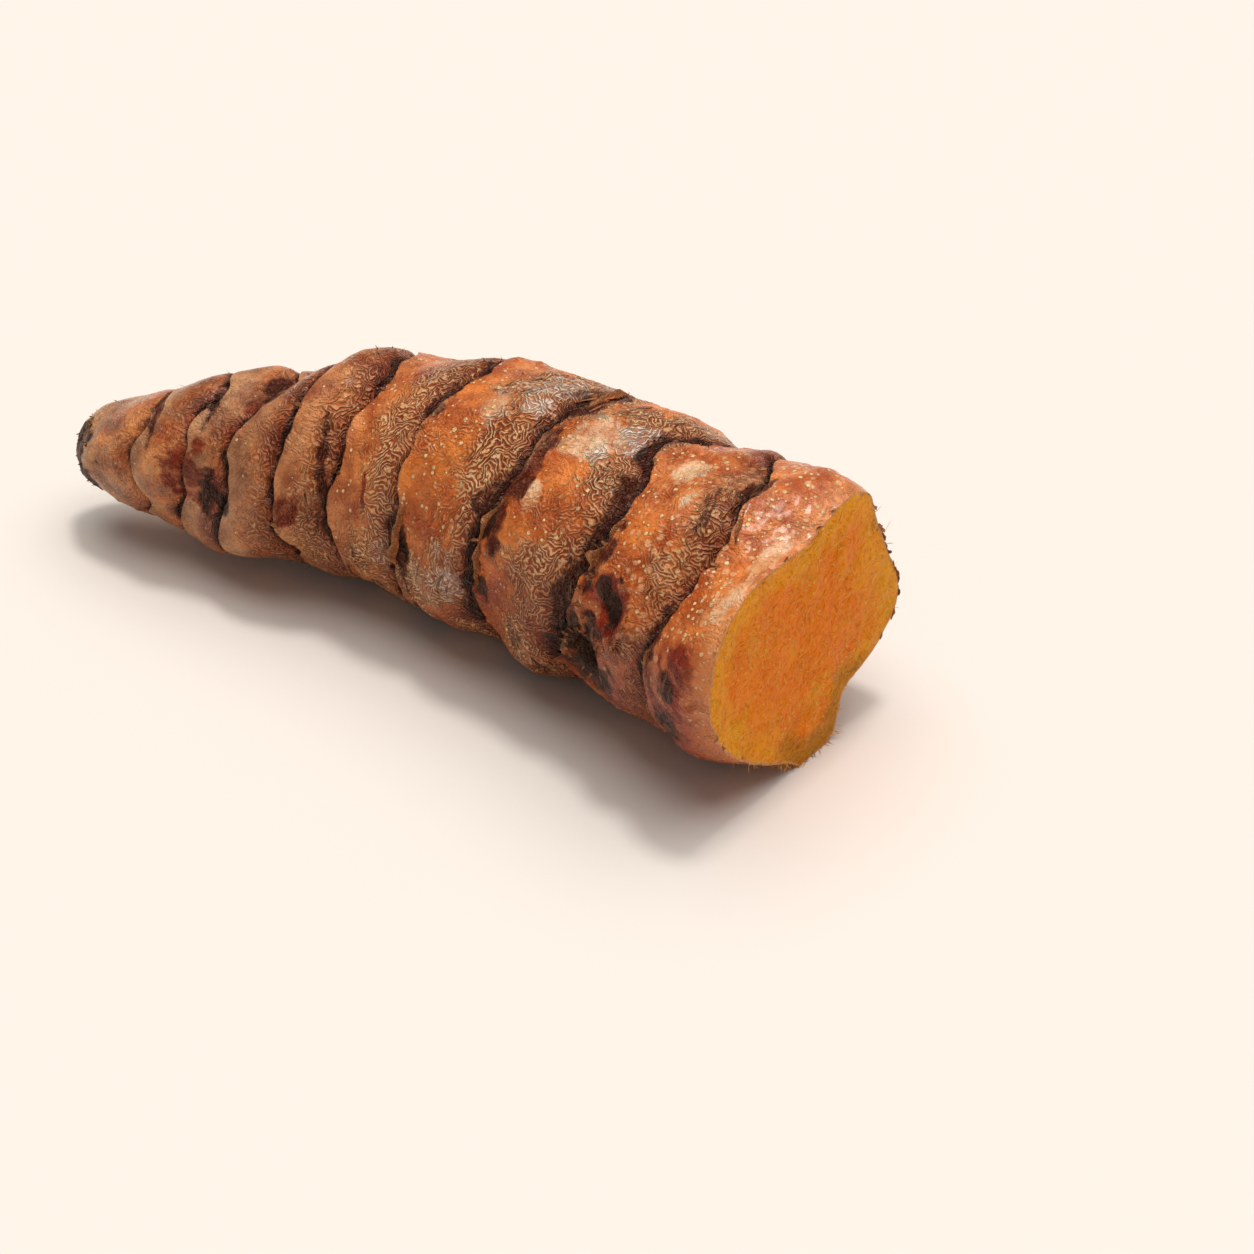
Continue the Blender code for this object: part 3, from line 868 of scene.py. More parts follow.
class Paint:
    """A material, and the few kinds of node that its formulas need."""

    def __init__(self, name):
        self.material = bpy.data.materials.new(name)
        self.material.use_nodes = True
        self.tree = self.material.node_tree
        place = self.node("ShaderNodeTexCoord", out="Object")
        self.place = self.node("ShaderNodeVectorMath", {"operation": "SCALE"}, {0: place, "Scale": 1 / MM})

    def fill(self, inputs, sockets):
        """Links each socket to its wire, or sets it to its value."""
        for key, value in sockets.items():
            if isinstance(value, Wire):
                self.tree.links.new(value.socket, inputs[key])
            else:
                inputs[key].default_value = value

    def node(self, kind, settings=None, sockets=None, out=0):
        """New node of a kind: its settings, then its sockets' values or wires. Returns one output."""
        made = self.tree.nodes.new(kind)
        for name, value in (settings or {}).items():
            setattr(made, name, value)
        self.fill(made.inputs, sockets or {})
        return Wire(self, made.outputs[out])

    def map(self, name, out="Fac"):
        return self.node("ShaderNodeAttribute", {"attribute_name": name}, out=out)

    def vector(self, operation, first, second=(0.0, 0.0, 0.0), out=0):
        return self.node("ShaderNodeVectorMath", {"operation": operation}, {0: first, 1: second}, out)

    def noise(self, size, detail=2.0, place=None, distortion=0.0, out=0):
        """Noise from 0 to 1 whose lumps are about as large as size, in mm."""
        return self.node("ShaderNodeTexNoise", {}, {
            "Vector": place or self.place, "Scale": 1.0 / size, "Detail": detail, "Distortion": distortion,
        }, out)

    def cells(self, size, place=None, out="Distance"):
        """Space split into cells round scattered points, about size apart in mm."""
        return self.node("ShaderNodeTexVoronoi", {}, {"Vector": place or self.place, "Scale": 1 / size}, out)

    def step(self, value, low, high):
        """0 at low and 1 at high, with a soft start and end. low may be above high."""
        return self.node("ShaderNodeMapRange", {"interpolation_type": "SMOOTHSTEP"}, {
            "Value": value, "From Min": low, "From Max": high})

    def layers(self, colour, *layers):
        """A colour with layers laid on it, each a kind, a share from 0 to 1 and its own colour."""
        for kind, share, top in layers:
            settings = {"data_type": "RGBA", "blend_type": kind}
            colour = self.node("ShaderNodeMix", settings, {0: share, 6: colour, 7: top}, out=2)
        return colour

    def mix(self, share, first, second):
        """The first colour where share is 0 and the second where it is 1."""
        return self.layers(first, (COVER, share, second))

    def strokes(self, size, frequency, curl):
        """Short curly strokes, from -1 to 1, that run one way within each patch as large as size.

        In each cell of space the value is the sine of the distance from the cell's point, measured
        across a random direction that lies in the surface.
        """
        wander = self.vector("ADD", self.noise(1.0, 1.0, out="Color"), (-0.5, -0.5, -0.5))
        warped = self.vector("ADD", self.place, self.vector("MULTIPLY", wander, (curl, curl, curl)))
        middle = self.cells(size, warped, "Position")
        hue = self.vector("ADD", middle.twin("Color"), (-0.5, -0.5, -0.5))
        across = self.vector("CROSS_PRODUCT", self.node("ShaderNodeTexCoord", out="Normal"), hue)
        from_middle = self.vector("SUBTRACT", warped, middle)
        far = self.vector("DOT_PRODUCT", from_middle, self.vector("NORMALIZE", across), "Value")
        return self.node("ShaderNodeMath", {"operation": "SINE"}, {0: far * (2 * math.pi * frequency)})

    def finish(self, colour, roughness, specular, bump=None, more=None):
        """The shader's own sockets. bump is a height and the depth in metres that it has at 1."""
        sockets = {"Base Color": colour, "Roughness": roughness, "Specular IOR Level": specular,
                   "Specular Tint": WARM_GLOSS, **(more or {})}
        if bump:
            height, depth = bump
            sockets["Normal"] = self.node("ShaderNodeBump", {}, {"Distance": depth, "Height": height})
        self.fill(self.tree.nodes["Principled BSDF"].inputs, sockets)
        print(self.material.name, "nodes:", len(self.tree.nodes))


def rgb(red, green, blue):
    """A colour as a screen names it, from 0 to 255, as the linear light that a shader works in."""
    share = np.array([red, green, blue]) / 255.0
    linear = np.where(share <= 0.04045, share / 12.92, ((share + 0.055) / 1.055) ** 2.4)
    return (*[float(v) for v in linear], 1.0)


# %% [markdown]
# ## The skin's finish
#
# Fresh skin has four finishes that run into one another: bare orange skin with pale raised dots, papery
# skin crazed into short light ridges, plain papery skin, and the dark fibre band at the rings. The crazing
# is short strokes that run one way within each small patch and are bent by noise, so they curl like a
# fingerprint. Noise also frays the edge of every map. Moist skin shines, so the gloss is high and warm.
# Some layers are painted light: painted shade before each ring, on the underside and in the ring lines,
# painted highlight in the pale patches, and small pale dots that are partly painted glints.

# %% Skin
RIDGE_FREQUENCY = 2.7     # ridges for each mm
TUFT_SIZE = 1.25          # mm across a patch of ridges that run one way
CURL = 1.5                # how far the ridges are bent
DOT_SPACING = 0.54        # mm from one dot to the next, about
BIG_DOT_SPACING = 0.85
FINE_BUMP = 0.20 * MM
FRAYED_MAPS = (   # map, how far noise moves its edge, and the values where its step starts and ends
    ("bare", 1.6, -0.2, 1.2), ("dark", 1.5, 0.2, 1.0), ("stain", 1.8, 0.4, 1.1), ("pitch", 1.4, 0.35, 0.8),
    ("paper", 1.2, 0.15, 0.9), ("soot", 1.6, 0.3, 0.9), ("pale_and_highlight", 1.8, 0.35, 1.15),
)

skin = Paint("turmeric_skin")
ringwise = skin.map("ringwise", "Vector")
station = skin.map("station")
# Of these maps, low is painted shade on the underside and shade is painted shade before each ring; the last
# is a dark ring line with painted shade in its groove.
shade, low, rim, wet, ring_line_and_shade = (skin.map(name) for name in ("shade", "low", "rim", "wet", "ring_line_and_shade"))
young = skin.step(station, 36.0, 14.0)
late = skin.step(station, 54.0, 62.0)
fray = skin.noise(1.1, 4.0) - 0.5
blotch = skin.step(skin.noise(2.8, 3.0), 0.3, 0.7)
speck = skin.noise(0.33)
mottle = skin.step(skin.noise(1.3), 0.35, 0.7)
bare, dark, stain, pitch, paper, soot, pale_and_highlight = (
    skin.step(skin.map(name) + fray * share, start, end)
    for name, share, start, end in FRAYED_MAPS)
pale_and_highlight = pale_and_highlight * (0.35 + 0.65 * skin.step(station, 38.0, 47.0))

crazed = skin.map("craze") + fray * 1.1
swirl = skin.strokes(TUFT_SIZE, RIDGE_FREQUENCY, CURL) + (speck - 0.5) * 2.6
ridge = skin.step(swirl + crazed * 1.3 - 0.9, -0.2, 1.3) * (1.0 - young * 0.15) * (1.0 - bare * 0.45)
gap = skin.step(swirl - crazed * 0.9 + 0.7, 0.3, -1.3) * (1.0 - young * 0.1) * (1.0 - bare * 0.5)


def dots(spacing, growth, least, outer, inner):
    """One soft round dot for each cell, whose radius is least plus growth times a random share."""
    far = skin.cells(spacing)
    pick = skin.node("ShaderNodeSeparateColor", {}, {0: far.twin("Color")})
    return skin.step(far - (growth * pick + least), outer, inner)


# Small pale dots: partly real raised dots, partly painted glints
dot = dots(DOT_SPACING, 0.40, (mottle - 0.5) * 0.14 - young * 0.15 - 0.04, 0.06, -0.06)
big_dot = dots(BIG_DOT_SPACING, 0.30, (speck - 0.5) * 0.15 + 0.10, 0.10, -0.08) * late
fibre = skin.noise(1.0, 2.0, skin.vector("MULTIPLY", ringwise, (0.5, 0.5, 3.4)), 1.2)
pale_fibre = skin.step(fibre, 0.54, 0.68)
wrinkle = skin.noise(1.6, 2.0, skin.vector("MULTIPLY", ringwise, (0.35, 0.35, 2.2)), 0.8)
crease = skin.step(wrinkle, 0.58, 0.68) * paper * 0.8

young_skin = skin.mix(blotch, rgb(140, 90, 60), rgb(208, 158, 114))
orange = skin.layers(
    skin.mix(blotch, rgb(182, 74, 16), rgb(252, 142, 58)),
    (COVER, mottle * 0.4, rgb(166, 68, 14)), (COVER, young * 0.9, young_skin))
tan = skin.mix(pale_fibre * 0.4, skin.mix(blotch, rgb(186, 86, 30), rgb(255, 168, 96)), rgb(238, 184, 132))
# Colour of the pale patches: paler skin with a painted highlight
pale_and_highlight_skin = skin.mix(blotch, rgb(255, 180, 112), rgb(255, 230, 186))
# Ridges turn near white in the pale patches: painted highlight
ridge_colour = skin.mix(pale_and_highlight, skin.mix(mottle, rgb(255, 218, 164), rgb(252, 182, 118)), rgb(255, 250, 236))
crust = skin.mix(pale_fibre * 0.25, skin.mix(speck, rgb(10, 3, 1), rgb(58, 20, 8)), rgb(126, 86, 54))
tip_scales = skin.mix(pale_fibre, rgb(48, 22, 10), rgb(134, 84, 46))
colour = skin.layers(
    skin.mix(bare, tan, orange),
    (COVER, paper * 0.4, rgb(212, 152, 112)),
    # paler skin and painted highlight in the pale patches
    (COVER, pale_and_highlight * 0.85, pale_and_highlight_skin),
    (TINT, gap, rgb(182, 122, 92)),
    (COVER, ridge * 0.78, ridge_colour),
    (COVER, big_dot * 0.7, rgb(255, 188, 134)),
    # small pale dots, partly painted glints
    (COVER, dot * (1.0 - stain) * 0.95, rgb(255, 218, 158)),
    (TINT, stain * 0.95, rgb(176, 80, 44)),
    (TINT, crease, rgb(120, 80, 66)),
    (TINT, shade, rgb(162, 88, 54)),
    # painted shade on the underside
    (TINT, low * 0.9, rgb(178, 122, 88)),
    (TINT, dark * 0.97, rgb(106, 44, 20)),
    # dark ring line, and painted shade in the groove
    (TINT, ring_line_and_shade * 0.9, rgb(110, 66, 48)),
    (COVER, dark * pale_fibre * 0.25, rgb(196, 150, 106)),
    (COVER, pitch * 0.9, crust),
    (COVER, rim * 0.22, rgb(226, 172, 122)),
    (TINT, soot, rgb(120, 92, 74)),
    (COVER, skin.step(soot, 0.4, 1.0) * 0.75, tip_scales),
    (COVER, wet * 0.4, rgb(250, 160, 96)),
)
height = ridge - gap * 0.5 + (dot + big_dot * 0.6) * 0.45 - crease + speck * 0.7
height = height + fibre * dark.most(paper) * 0.9
clean = (1.0 - dark) * (1.0 - stain) * (1.0 - soot)
film = ((pale_and_highlight * 0.95 + wet * 0.25) * (1.0 - low) + bare * 0.2 * late + 0.06 + young * 0.08) * clean
polish = ridge * 0.06 + pale_and_highlight * 0.08 + bare * 0.03 + wet * 0.05
roughness = 0.28 - polish + dark * 0.08 + pitch * 0.1 + mottle * 0.10 + soot * 0.25
skin.finish(colour, roughness, 0.42, (height, FINE_BUMP), {"Coat Weight": film, "Coat Roughness": 0.17})

# %% [markdown]
# ## The flesh's finish
#
# The cut shows an outer ring of yellower flesh round a deeper orange core, with pale threads of fibre in
# both. The distance in from the skin is an attribute, so the ring has the same width all round. The threads
# are strokes like those of the skin, only longer and fainter. Where the flesh is thin, at the lower far
# corner, it has dried to olive.

# %% Flesh
RING_OF_FLESH = 2.3       # mm from the skin to the core
FLESH_BUMP = 0.16 * MM
ORANGE_GLOSS = (1.0, 0.62, 0.22, 1.0)

flesh = Paint("turmeric_flesh")
inward_mm = flesh.map("inward")
wobble = flesh.noise(2.6, 3.0) - 0.5
grain = flesh.noise(0.4, 3.0)
core = flesh.step(inward_mm + wobble * 3.0, RING_OF_FLESH - 1.0, RING_OF_FLESH + 1.4)
stroke = flesh.strokes(0.95, 2.3, 1.2) + (grain - 0.5) * 3.8
thread = flesh.step(stroke, 0.3, 1.4) * (0.4 + flesh.step(flesh.noise(3.4), 0.35, 0.65) * 0.6)
pit = flesh.step(stroke, -0.6, -1.6)
pulp = flesh.mix(flesh.noise(1.2, 3.0), rgb(255, 138, 4), rgb(255, 176, 16))
heart = flesh.mix(flesh.noise(1.6, 3.0), rgb(255, 100, 0), rgb(255, 140, 4))
cloud = flesh.step(flesh.noise(5.5), 0.5, 0.7)
dried = flesh.step(flesh.map("corner") + wobble, 0.1, 0.8)
bruise = flesh.step(flesh.noise(0.8, 3.0), 0.58, 0.70) * flesh.step(inward_mm, 1.4, 0.1)
skin_edge = flesh.step(inward_mm + (grain - 0.5) * 0.3, 0.30, 0.10)
flesh_colour = flesh.layers(
    flesh.mix(core * 0.8, pulp, heart),
    (COVER, cloud * 0.3, rgb(255, 182, 26)),
    (COVER, thread * 0.52, rgb(255, 216, 92)),
    (COVER, pit * 0.4, rgb(206, 84, 0)),
    (COVER, dried * 0.5, flesh.mix(thread, rgb(126, 82, 10), rgb(214, 160, 40))),
    (COVER, bruise * 0.6, rgb(128, 58, 6)),
    (COVER, skin_edge, rgb(222, 158, 100)),
)
flesh_height = thread * 0.8 - pit * 0.4 + grain
flesh.finish(flesh_colour, 0.40 + flesh.noise(0.6) * 0.2, 0.25, (flesh_height, FLESH_BUMP),
             {"Specular Tint": ORANGE_GLOSS})
root.data.materials.append(skin.material)
root.data.materials.append(flesh.material)
root.data.polygons.foreach_set("material_index", flesh_faces.astype(np.int32))
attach(root, BODY)
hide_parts(NODE)

# %% [markdown]
# ## Torn and loose things
#
# A smooth grid can't hold the torn flakes of leaf, the fine roots and hairs, the spiky growing end, or the
# threads that a knife pulls out of the flesh. Each of these is a small tapering strip, closed all round.
# One function makes any number of strips as one object, from arrays of their starts, directions and sizes.

# %% Strips
STRIP_ROWS = 6
STRIP_SIDES = 6
loose = np.random.default_rng(SEED + 50)


def unit(vectors):
    """Vectors scaled to length 1."""
    return vectors / np.linalg.norm(vectors, axis=-1, keepdims=True)


def strips(name, groups, blunt):
    """Many closed tapering strips as one object.

    With t from 0 to 1, a strip's middle runs along start + length * (t * ahead + rise * t^2 *
    outwards + bend * sin(2 t) * t * beside). Its section is an ellipse of width by thickness,
    times 1 - t^blunt, so a low blunt gives a spike and a high one a flap. Each group holds arrays
    of starts, of both directions, of sizes (length, width and thickness in mm), rise and bend.
    """
    starts, ahead, outwards, sizes, rise, bend = (np.concatenate(parts) for parts in zip(*groups))
    count = len(starts)
    ahead = unit(ahead)
    outwards = unit(outwards - (outwards * ahead).sum(-1, keepdims=True) * ahead)
    beside = np.cross(outwards, ahead)
    length, width, thickness = (MM * sizes.T)[:, :, None, None]
    t = np.linspace(0, 1, STRIP_ROWS + 1)[None, :, None]
    rise = rise[:, None, None]
    bend = bend[:, None, None]
    course = t * ahead[:, None] + rise * t**2 * outwards[:, None] + bend * np.sin(2 * t) * t * beside[:, None]
    middle = starts[:, None] + length * course
    taper = (1 - t**blunt)[..., None] * (0.75 + 0.25 * np.sin(9 * t + 40 * rise + 90 * bend))[..., None]
    around = np.arange(STRIP_SIDES) * 2 * math.pi / STRIP_SIDES
    across = np.cos(around)[None, None, :, None] * beside[:, None, None] * width[..., None] / 2
    up = np.sin(around)[None, None, :, None] * outwards[:, None, None] * thickness[..., None] / 2
    tube = (middle[:, :, None] + taper * (across + up))[:, :-1]
    points = np.concatenate([tube.reshape(count, -1, 3), middle[:, :1], middle[:, -1:]], axis=1)
    each = points.shape[1]
    points = points.reshape(-1, 3)
    points[:, 2] = np.maximum(points[:, 2], 0.02 * MM)     # nothing dips into the floor
    shift = (np.arange(count) * each)[:, None, None]
    faces = [(group + shift).reshape(-1, group.shape[1]) for group in tube_faces(STRIP_ROWS, STRIP_SIDES)]
    piece = add_piece(name, points, *faces)
    reach = np.concatenate([np.repeat(np.arange(STRIP_ROWS) / STRIP_ROWS, STRIP_SIDES), [0.0, 1.0]])
    add_map(piece, "reach", np.tile(reach, count))
    add_map(piece, "pick", np.repeat(loose.random(count), each))
    print(name, len(piece.data.polygons), "faces")
    return piece


def column_at(degrees):
    """The grid column nearest an angle."""
    return np.round(np.asarray(degrees) / 360 * COLUMNS).astype(int) % COLUMNS


def on_the_skin(station, degrees):
    """Skin point nearest a station in mm and an angle, and the directions along, around and outwards."""
    column = column_at(degrees)
    row = np.abs(station_grid[:, column] - np.asarray(station) * MM).argmin(axis=0)
    row = np.clip(row, 3, len(row_joint) - 4)
    along = unit(plain_points[row + 3, column] - plain_points[row - 3, column])
    around = unit(plain_points[row, (column + 3) % COLUMNS] - plain_points[row, column - 3])
    outwards = unit(np.cross(along, around))
    middle = path_frame(np.asarray(station) * MM)[0]
    facing = np.sign(((skin_points[row, column] - middle) * outwards).sum(-1, keepdims=True))
    return skin_points[row, column], along, around, outwards * facing


def group_of(point, ahead, out, ranges, rise, bend):
    """A group of strips with random sizes, rise and bend, each drawn from its own range."""
    low, high = np.array(ranges).T
    sizes = loose.uniform(low, high, (len(point), 3))
    return point, ahead, out, sizes, loose.uniform(*rise, len(point)), loose.uniform(*bend, len(point))


# %% [markdown]
# ## Leaf feet
#
# What is left of a leaf at its ring is a thin papery skirt with a torn edge. It starts at the lip and lies
# back over the groove towards the growing end. Its section is a flat closed loop, out along the upper side
# and back along the under side, and it is carried once round the root. Noise sets how far it reaches at
# every angle, and a few places have a longer flap.

# %% Leaf feet
SKIRT_ROWS = 7               # rows on each side of the sheet
SKIRT_START = 0.25 * MM      # how far behind its ring a sheet begins
SKIRT_REACH = 0.75 * MM
SKIRT_LEAST = 0.03 * MM
SKIRT_THICK = 0.03 * MM
SKIRT_SHOWS = 0.28 * MM      # a sheet that reaches less far is worn off
SKIRT_SINK = 0.06 * MM       # how deep the foot of a sheet is sunk in the skin
WORN_SINK = 0.4 * MM         # how deep a sheet stays under the skin where it is worn off
FIRST_SKIRT = 3
FLAPS = (   # ring, degrees round, half width in degrees, extra reach and extra lift in mm
    (6, 80, 8, 0.7, 0.15), (6, 95, 6, 1.1, 0.30), (7, 60, 7, 0.6, 0.15), (7, 82, 6, 0.5, 0.20),
    (8, 44, 6, 0.5, 0.25), (8, 56, 5, 0.6, 0.40), (9, 20, 8, 0.3, 0.10), (9, 78, 5, 0.3, 0.15),
    (7, -15, 12, 0.7, 0.20), (8, -60, 10, 0.8, 0.30), (6, -90, 9, 0.8, 0.30), (7, 170, 12, 0.8, 0.25),
    (5, 120, 8, 0.5, 0.15),
)


def skirt(number):
    """Points of the skirt at one ring: rows out to the torn edge, then back underneath.

    At share t of its reach it lies at station ring + start - t * reach, and at the skin's own
    distance there plus lift * sin(pi * t / 2), so it starts in the lip and ends above the groove.
    """
    fine = torn_fine[number - 1]
    ragged = ramp(0.2, 1.0, torn[number - 1]) + 0.3 * fine
    reach = SKIRT_LEAST + SKIRT_REACH * RING_STRENGTH[number - 1] * np.maximum(ragged, 0.0)
    lift = (0.05 + 0.14 * np.maximum(fine + 0.4, 0.0)) * MM * RING_STRENGTH[number - 1]
    for ring, degrees, half_width, longer, higher in FLAPS:
        bell = (ring == number) * MM * bell_curve(column_angle, degrees, half_width)
        reach = reach + longer * bell * (0.8 + 0.8 * fine)
        lift = lift + higher * bell
    first = np.flatnonzero(row_joint == number)[0]
    distance = np.linalg.norm(skin_points[first] - path_middle[first], axis=-1)
    t = np.linspace(0, 1, SKIRT_ROWS)[:, None]
    place = rings[number] + SKIRT_START - t * reach
    free = np.minimum(3 * t, 1)
    hidden = 1 - np.minimum(reach / SKIRT_SHOWS, 1)
    away = distance + lift * np.sin(math.pi * t / 2) - SKIRT_SINK * (1 - free) - WORN_SINK * hidden
    away = away + 0.04 * MM * free * np.sin(5 * t + 60 * fine)
    half = SKIRT_THICK * (1 - 0.7 * t)
    angle = np.broadcast_to(column_angle, place.shape)
    upper, under = (pressed(skin_point(place, away + side * half, angle)) for side in (1, -1))
    return np.concatenate([upper, under[::-1]])


torn = round_the_ring(1.6 * MM, 301, 3)
torn_fine = round_the_ring(0.9 * MM, 311)
path_middle = pressed(path_frame(station_grid)[0])
skirt_rows = np.stack([skirt(number) for number in range(FIRST_SKIRT, len(RINGS) + 1)])
n, i, k = np.indices(skirt_rows.shape[:3])
next_i = (i + 1) % (2 * SKIRT_ROWS)
next_k = (k + 1) % COLUMNS
sides = ((i, k), (next_i, k), (next_i, next_k), (i, next_k))
corners = np.stack([(n * 2 * SKIRT_ROWS + a) * COLUMNS + b for a, b in sides], -1)
feet = add_piece("leaf_feet", skirt_rows.reshape(-1, 3), corners.reshape(-1, 4))
out_and_back = np.concatenate([np.linspace(0, 1, SKIRT_ROWS), np.linspace(1, 0, SKIRT_ROWS)])
add_map(feet, "reach", np.tile(np.repeat(out_and_back, COLUMNS), len(skirt_rows)))
add_map(feet, "pick", np.full(n.size, 0.5))
print("leaf feet:", len(feet.data.polygons), "faces")

# %% [markdown]
# ## Flakes of leaf
#
# Flakes stand along the leaf rings and round the bud scars, and most point back to the growing end. A few
# long strips of old leaf lie across the top, and the skin frays where the knife went through it. Each kind
# is one group of strips, spread by the seeded generator.

# %% Flakes
FLAKES_ON_RING = (0, 0, 2, 4, 5, 9, 10, 10, 7)
FLAKES_ON_SCAR = 26
EDGE_FLAPS = 22
TORN_STRIPS = np.array([   # station, degrees round, length, width
    (42.0, -8, 3.6, 0.55), (44.2, -4, 3.0, 0.45), (46.8, -12, 4.2, 0.6), (48.4, -6, 3.4, 0.5),
    (51.5, -10, 3.0, 0.5), (64.2, 8, 3.2, 0.6), (65.4, 14, 3.6, 0.5), (66.2, 4, 2.8, 0.5),
    (45.8, 20, 2.6, 0.4), (57.0, 20, 3.0, 0.5),
])


def ring_flakes(number, count):
    """Small torn flaps along a ring, that lean back over the groove."""
    degrees = loose.uniform(0, 360, count)
    point, along, around, out = on_the_skin(rings[number, column_at(degrees)] / MM + 0.1, degrees)
    ahead = -along + around * loose.uniform(-0.5, 0.5, (count, 1)) + out * 0.1
    sizes = ((0.35, 0.8), (0.3, 0.9), (0.03, 0.05))
    return group_of(point, ahead, out, sizes, (-0.2, 0.35), (-0.3, 0.3))


def scar_flakes(scar):
    """Flakes that stand round a bud scar and curl away from its middle."""
    place, degrees, radius = scar[:3]
    turn = loose.uniform(0, 2 * math.pi, FLAKES_ON_SCAR)
    angle = degrees + np.degrees(radius * np.sin(turn) / (girth_at(place * MM) / MM))
    point, along, around, out = on_the_skin(place + radius * np.cos(turn), angle)
    ahead = np.cos(turn)[:, None] * along + np.sin(turn)[:, None] * around + out * 0.3
    sizes = ((0.3, 0.8), (0.25, 0.8), (0.03, 0.05))
    return group_of(point, ahead, out, sizes, (-0.2, 0.6), (-0.3, 0.3))


def torn_strips():
    """Long narrow strips of old leaf that lie across the top and lift a little."""
    station, degrees, length, width = TORN_STRIPS.T
    count = len(station)
    point, along, around, out = on_the_skin(station, degrees - 10)
    sizes = np.stack([length, width, np.full(count, 0.06)], -1)
    ahead = around + along * loose.uniform(-0.3, 0.3, (count, 1))
    return point, ahead, out, sizes, loose.uniform(-0.18, 0.0, count), loose.uniform(-0.1, 0.1, count)


def edge_flaps():
    """Ragged skin that stands past the cut, most of it on the far side."""
    degrees = np.concatenate([loose.uniform(-115, -25, 14), loose.uniform(0, 360, 8)])
    point = cut_edge[column_at(degrees)]
    out = unit(point - cut_centre)
    ahead = np.broadcast_to(cut_facing, point.shape) + out * loose.uniform(-0.3, 0.5, (EDGE_FLAPS, 1))
    sizes = loose.uniform((0.2, 0.6, 0.06), (0.45, 1.8, 0.10), (EDGE_FLAPS, 3))
    rise = loose.uniform(-0.2, 0.4, EDGE_FLAPS)
    return point - cut_facing * 0.15 * MM, ahead, out, sizes, rise, np.zeros(EDGE_FLAPS)


flake_groups = [ring_flakes(number, count) for number, count in enumerate(FLAKES_ON_RING, 1)]
flake_groups += [scar_flakes(scar) for scar in BUD_SCARS]
flakes = strips("leaf_flakes", [*flake_groups, torn_strips(), edge_flaps()], blunt=2.5)

# %% [markdown]
# ## Hairs, spikes and threads
#
# Hairs are fine roots, and grow out of the dark bands in any direction. Spikes are the tips of scales: they
# crowd at the growing end, and a few tufts stand on top of the rings. Threads are fibres that the knife
# pulled out of the flesh, and lie on the cut or hang from its lower edge.

# %% Hairs, spikes and threads
HAIRS_ON_RING = (6, 8, 18, 24, 34, 60, 70, 70, 30)
TIP_SPIKES = 46
SPIKES_IN_TUFT = 9
SPIKE_TUFTS = ((27.6, -22), (36.4, -20), (47.2, -24), (57.6, -22), (22.0, -18))   # station, degrees
THREADS_ON_CUT = 240
UPWARDS = np.array([0.0, 0.0, 1.0])


def ring_hairs(number, count):
    """Thin hairs out of the dark band at a ring."""
    degrees = loose.uniform(0, 360, count)
    station = rings[number, column_at(degrees)] / MM - loose.uniform(-0.3, 1.4, count)
    point, along, around, out = on_the_skin(station, degrees)
    ahead = along * loose.normal(-0.4, 0.8, (count, 1))
    ahead = ahead + around * loose.normal(0, 0.8, (count, 1)) + out * 0.3
    sizes = ((0.3, 1.1), (0.03, 0.055), (0.03, 0.055))
    return group_of(point, ahead, out, sizes, (-0.3, 0.5), (-0.8, 0.8))


def tip_spikes():
    """Stiff dark spikes at the growing end."""
    degrees = loose.uniform(0, 360, TIP_SPIKES)
    point, along, around, out = on_the_skin(loose.uniform(-0.7, 2.2, TIP_SPIKES), degrees)
    ahead = out * loose.uniform(0.1, 0.7, (TIP_SPIKES, 1)) - along * 0.7
    ahead = ahead + around * loose.uniform(-0.5, 0.5, (TIP_SPIKES, 1))
    return group_of(point, ahead, out, ((0.15, 0.42), (0.12, 0.4), (0.06, 0.12)), (0.0, 0.4), (-0.3, 0.3))


def spike_tuft(place, degrees):
    """A small tuft of dark spiky scales."""
    station = place + loose.normal(0, 0.4, SPIKES_IN_TUFT)
    point, along, around, out = on_the_skin(station, degrees + loose.normal(0, 6, SPIKES_IN_TUFT))
    ahead = out + along * loose.normal(-0.5, 0.5, (SPIKES_IN_TUFT, 1))
    ahead = ahead + around * loose.normal(0, 0.5, (SPIKES_IN_TUFT, 1))
    return group_of(point, ahead, -along, ((0.2, 0.5), (0.08, 0.28), (0.05, 0.09)), (0.0, 0.5), (-0.3, 0.3))


def threads_on_the_cut():
    """Curly threads that lie on the flesh."""
    column = column_at(loose.uniform(0, 360, THREADS_ON_CUT))
    row = (FACE_ROWS * loose.uniform(0.0, 1.0, THREADS_ON_CUT) ** 1.3 * 0.97).astype(int)
    turn = loose.uniform(0, 2 * math.pi, THREADS_ON_CUT)[:, None]
    ahead = np.cos(turn) * np.cross(cut_facing, UPWARDS) + np.sin(turn) * UPWARDS + 0.15 * cut_facing
    facing = np.broadcast_to(cut_facing, ahead.shape)
    sizes = ((0.5, 1.5), (0.06, 0.11), (0.05, 0.08))
    return group_of(face_points[row, column], ahead, facing, sizes, (-0.1, 0.25), (-0.9, 0.9))


def threads_at_the_edge():
    """Threads that hang from the lower edge of the cut."""
    degrees = np.concatenate([loose.normal(178, 24, 38), loose.uniform(0, 360, 8)])
    point = cut_edge[column_at(degrees)]
    ahead = unit(point - cut_centre) + cut_facing * loose.uniform(0.0, 1.2, (len(point), 1))
    ahead = ahead + loose.normal(0, 0.4, point.shape)
    facing = np.broadcast_to(cut_facing, point.shape)
    return group_of(point, ahead, facing, ((0.3, 1.0), (0.06, 0.14), (0.05, 0.08)), (-0.2, 0.4), (-1.2, 1.2))


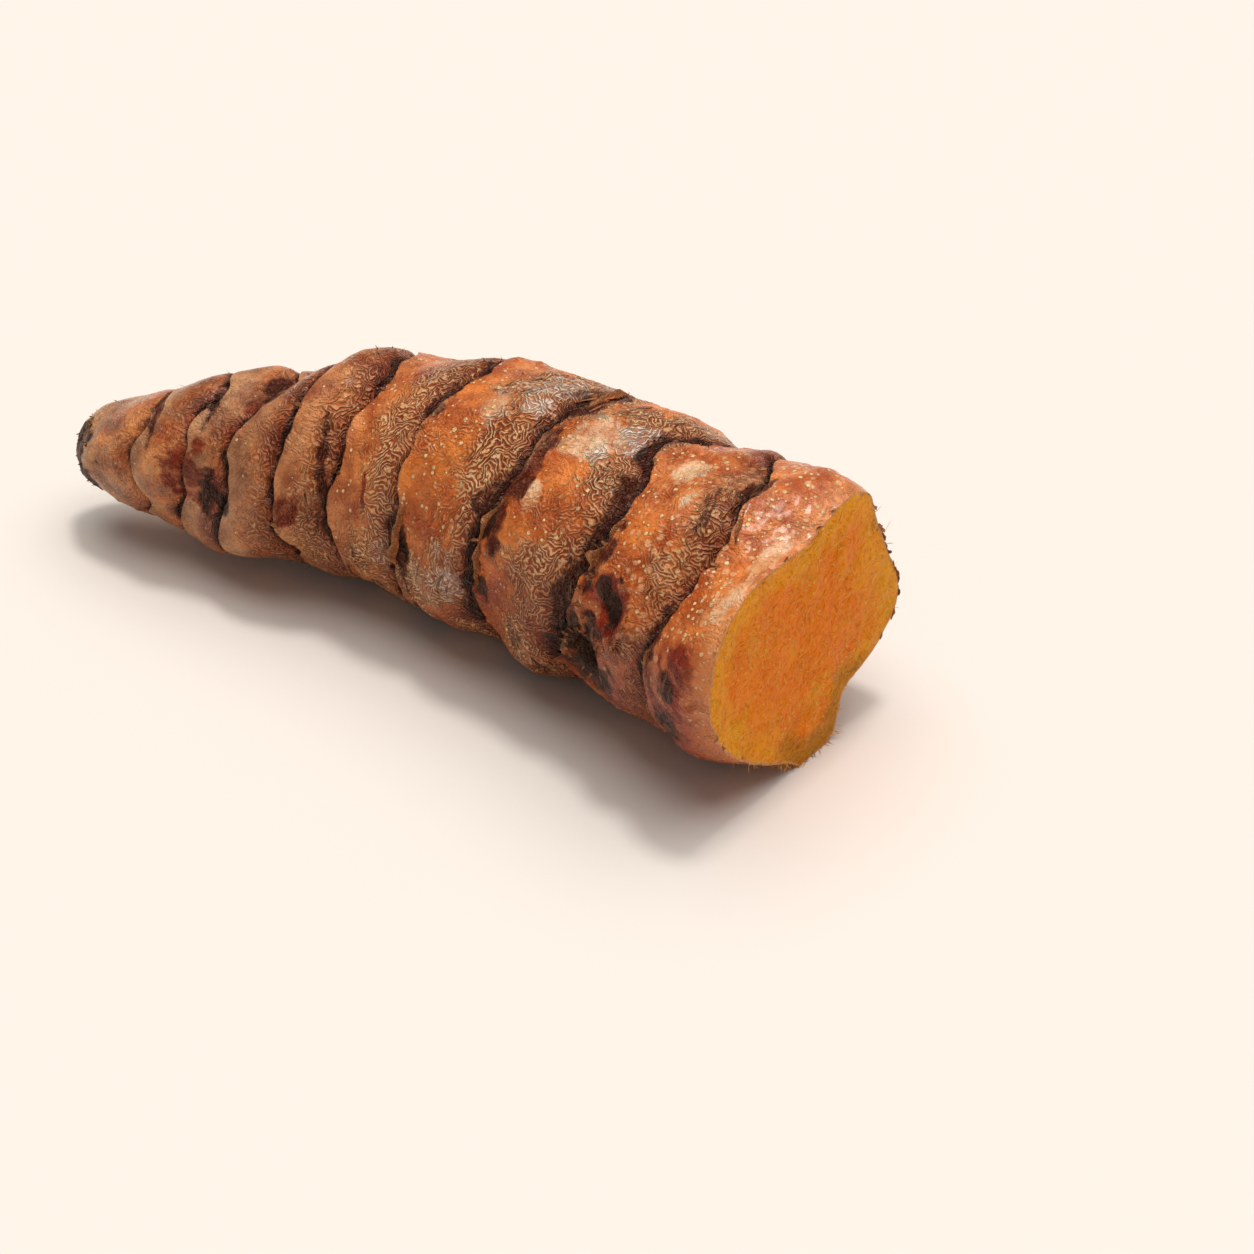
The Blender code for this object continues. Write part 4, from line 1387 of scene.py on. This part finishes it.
hair_groups = [ring_hairs(number, count) for number, count in enumerate(HAIRS_ON_RING, 1)]
hair_groups += [tip_spikes(), *[spike_tuft(*tuft) for tuft in SPIKE_TUFTS]]
hairs = strips("hairs", hair_groups, blunt=1.6)
threads = strips("flesh_threads", [threads_on_the_cut(), threads_at_the_edge()], blunt=2.0)

# %% [markdown]
# ## Finishes of the loose things
#
# Old leaf is pale tan at its torn edge, and like the skin where it still grows from the root. Hairs are
# brown with paler ends, and threads have the colour of the flesh. Each strip also has its own random
# number, so that no two look alike.

# %% Finishes of flakes, hairs and threads
LEAF_BUMP = 0.09 * MM

leaf = Paint("dry_leaf")
reach = leaf.map("reach")
streak = leaf.noise(0.35, 3.0)
leaf_wrinkle = leaf.strokes(0.6, 4.2, 1.4)
leaf_share = leaf.step(reach * 0.5 + leaf.map("pick") * 0.6 + leaf.noise(1.8, 3.0) * 0.9, 0.7, 1.3)
leaf_colour = leaf.layers(
    leaf.mix(streak, rgb(56, 20, 8), rgb(140, 74, 38)),
    (COVER, leaf_share, leaf.mix(streak, rgb(150, 80, 42), rgb(220, 154, 100))),
    (COVER, leaf.step(reach, 0.55, 0.05) * 0.9, leaf.mix(streak, rgb(150, 68, 26), rgb(236, 142, 74))),
    (COVER, leaf.step(leaf_wrinkle, 0.2, -1.0) * 0.3, rgb(96, 40, 16)),
)
leaf.finish(leaf_colour, 0.5, 0.4, (leaf_wrinkle * 0.5 + streak, LEAF_BUMP))
bristle = Paint("root_hair")
bristle_share = bristle.map("reach") * bristle.map("pick") + (bristle.noise(0.3) - 0.5) * 0.4
bristle_colour = bristle.mix(bristle.step(bristle_share, 0.1, 0.8), rgb(40, 14, 5), rgb(186, 128, 80))
bristle.finish(bristle_colour, 0.45, 0.4)
pulled = Paint("flesh_thread")
pulled_share = pulled.map("pick") * 0.7 + pulled.noise(0.4) * 0.4
pulled.finish(pulled.mix(pulled_share, rgb(232, 124, 0), rgb(252, 178, 48)), 0.4, 0.3)
for piece, paint in ((feet, leaf), (flakes, leaf), (hairs, bristle), (threads, pulled)):
    piece.data.materials.append(paint.material)
    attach(piece, BODY)

# %% Finish
dressed_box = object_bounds()
for low, high, axis in zip(*dressed_box, "XYZ"):
    print(axis, round((high - low) / MM, 2), "mm")
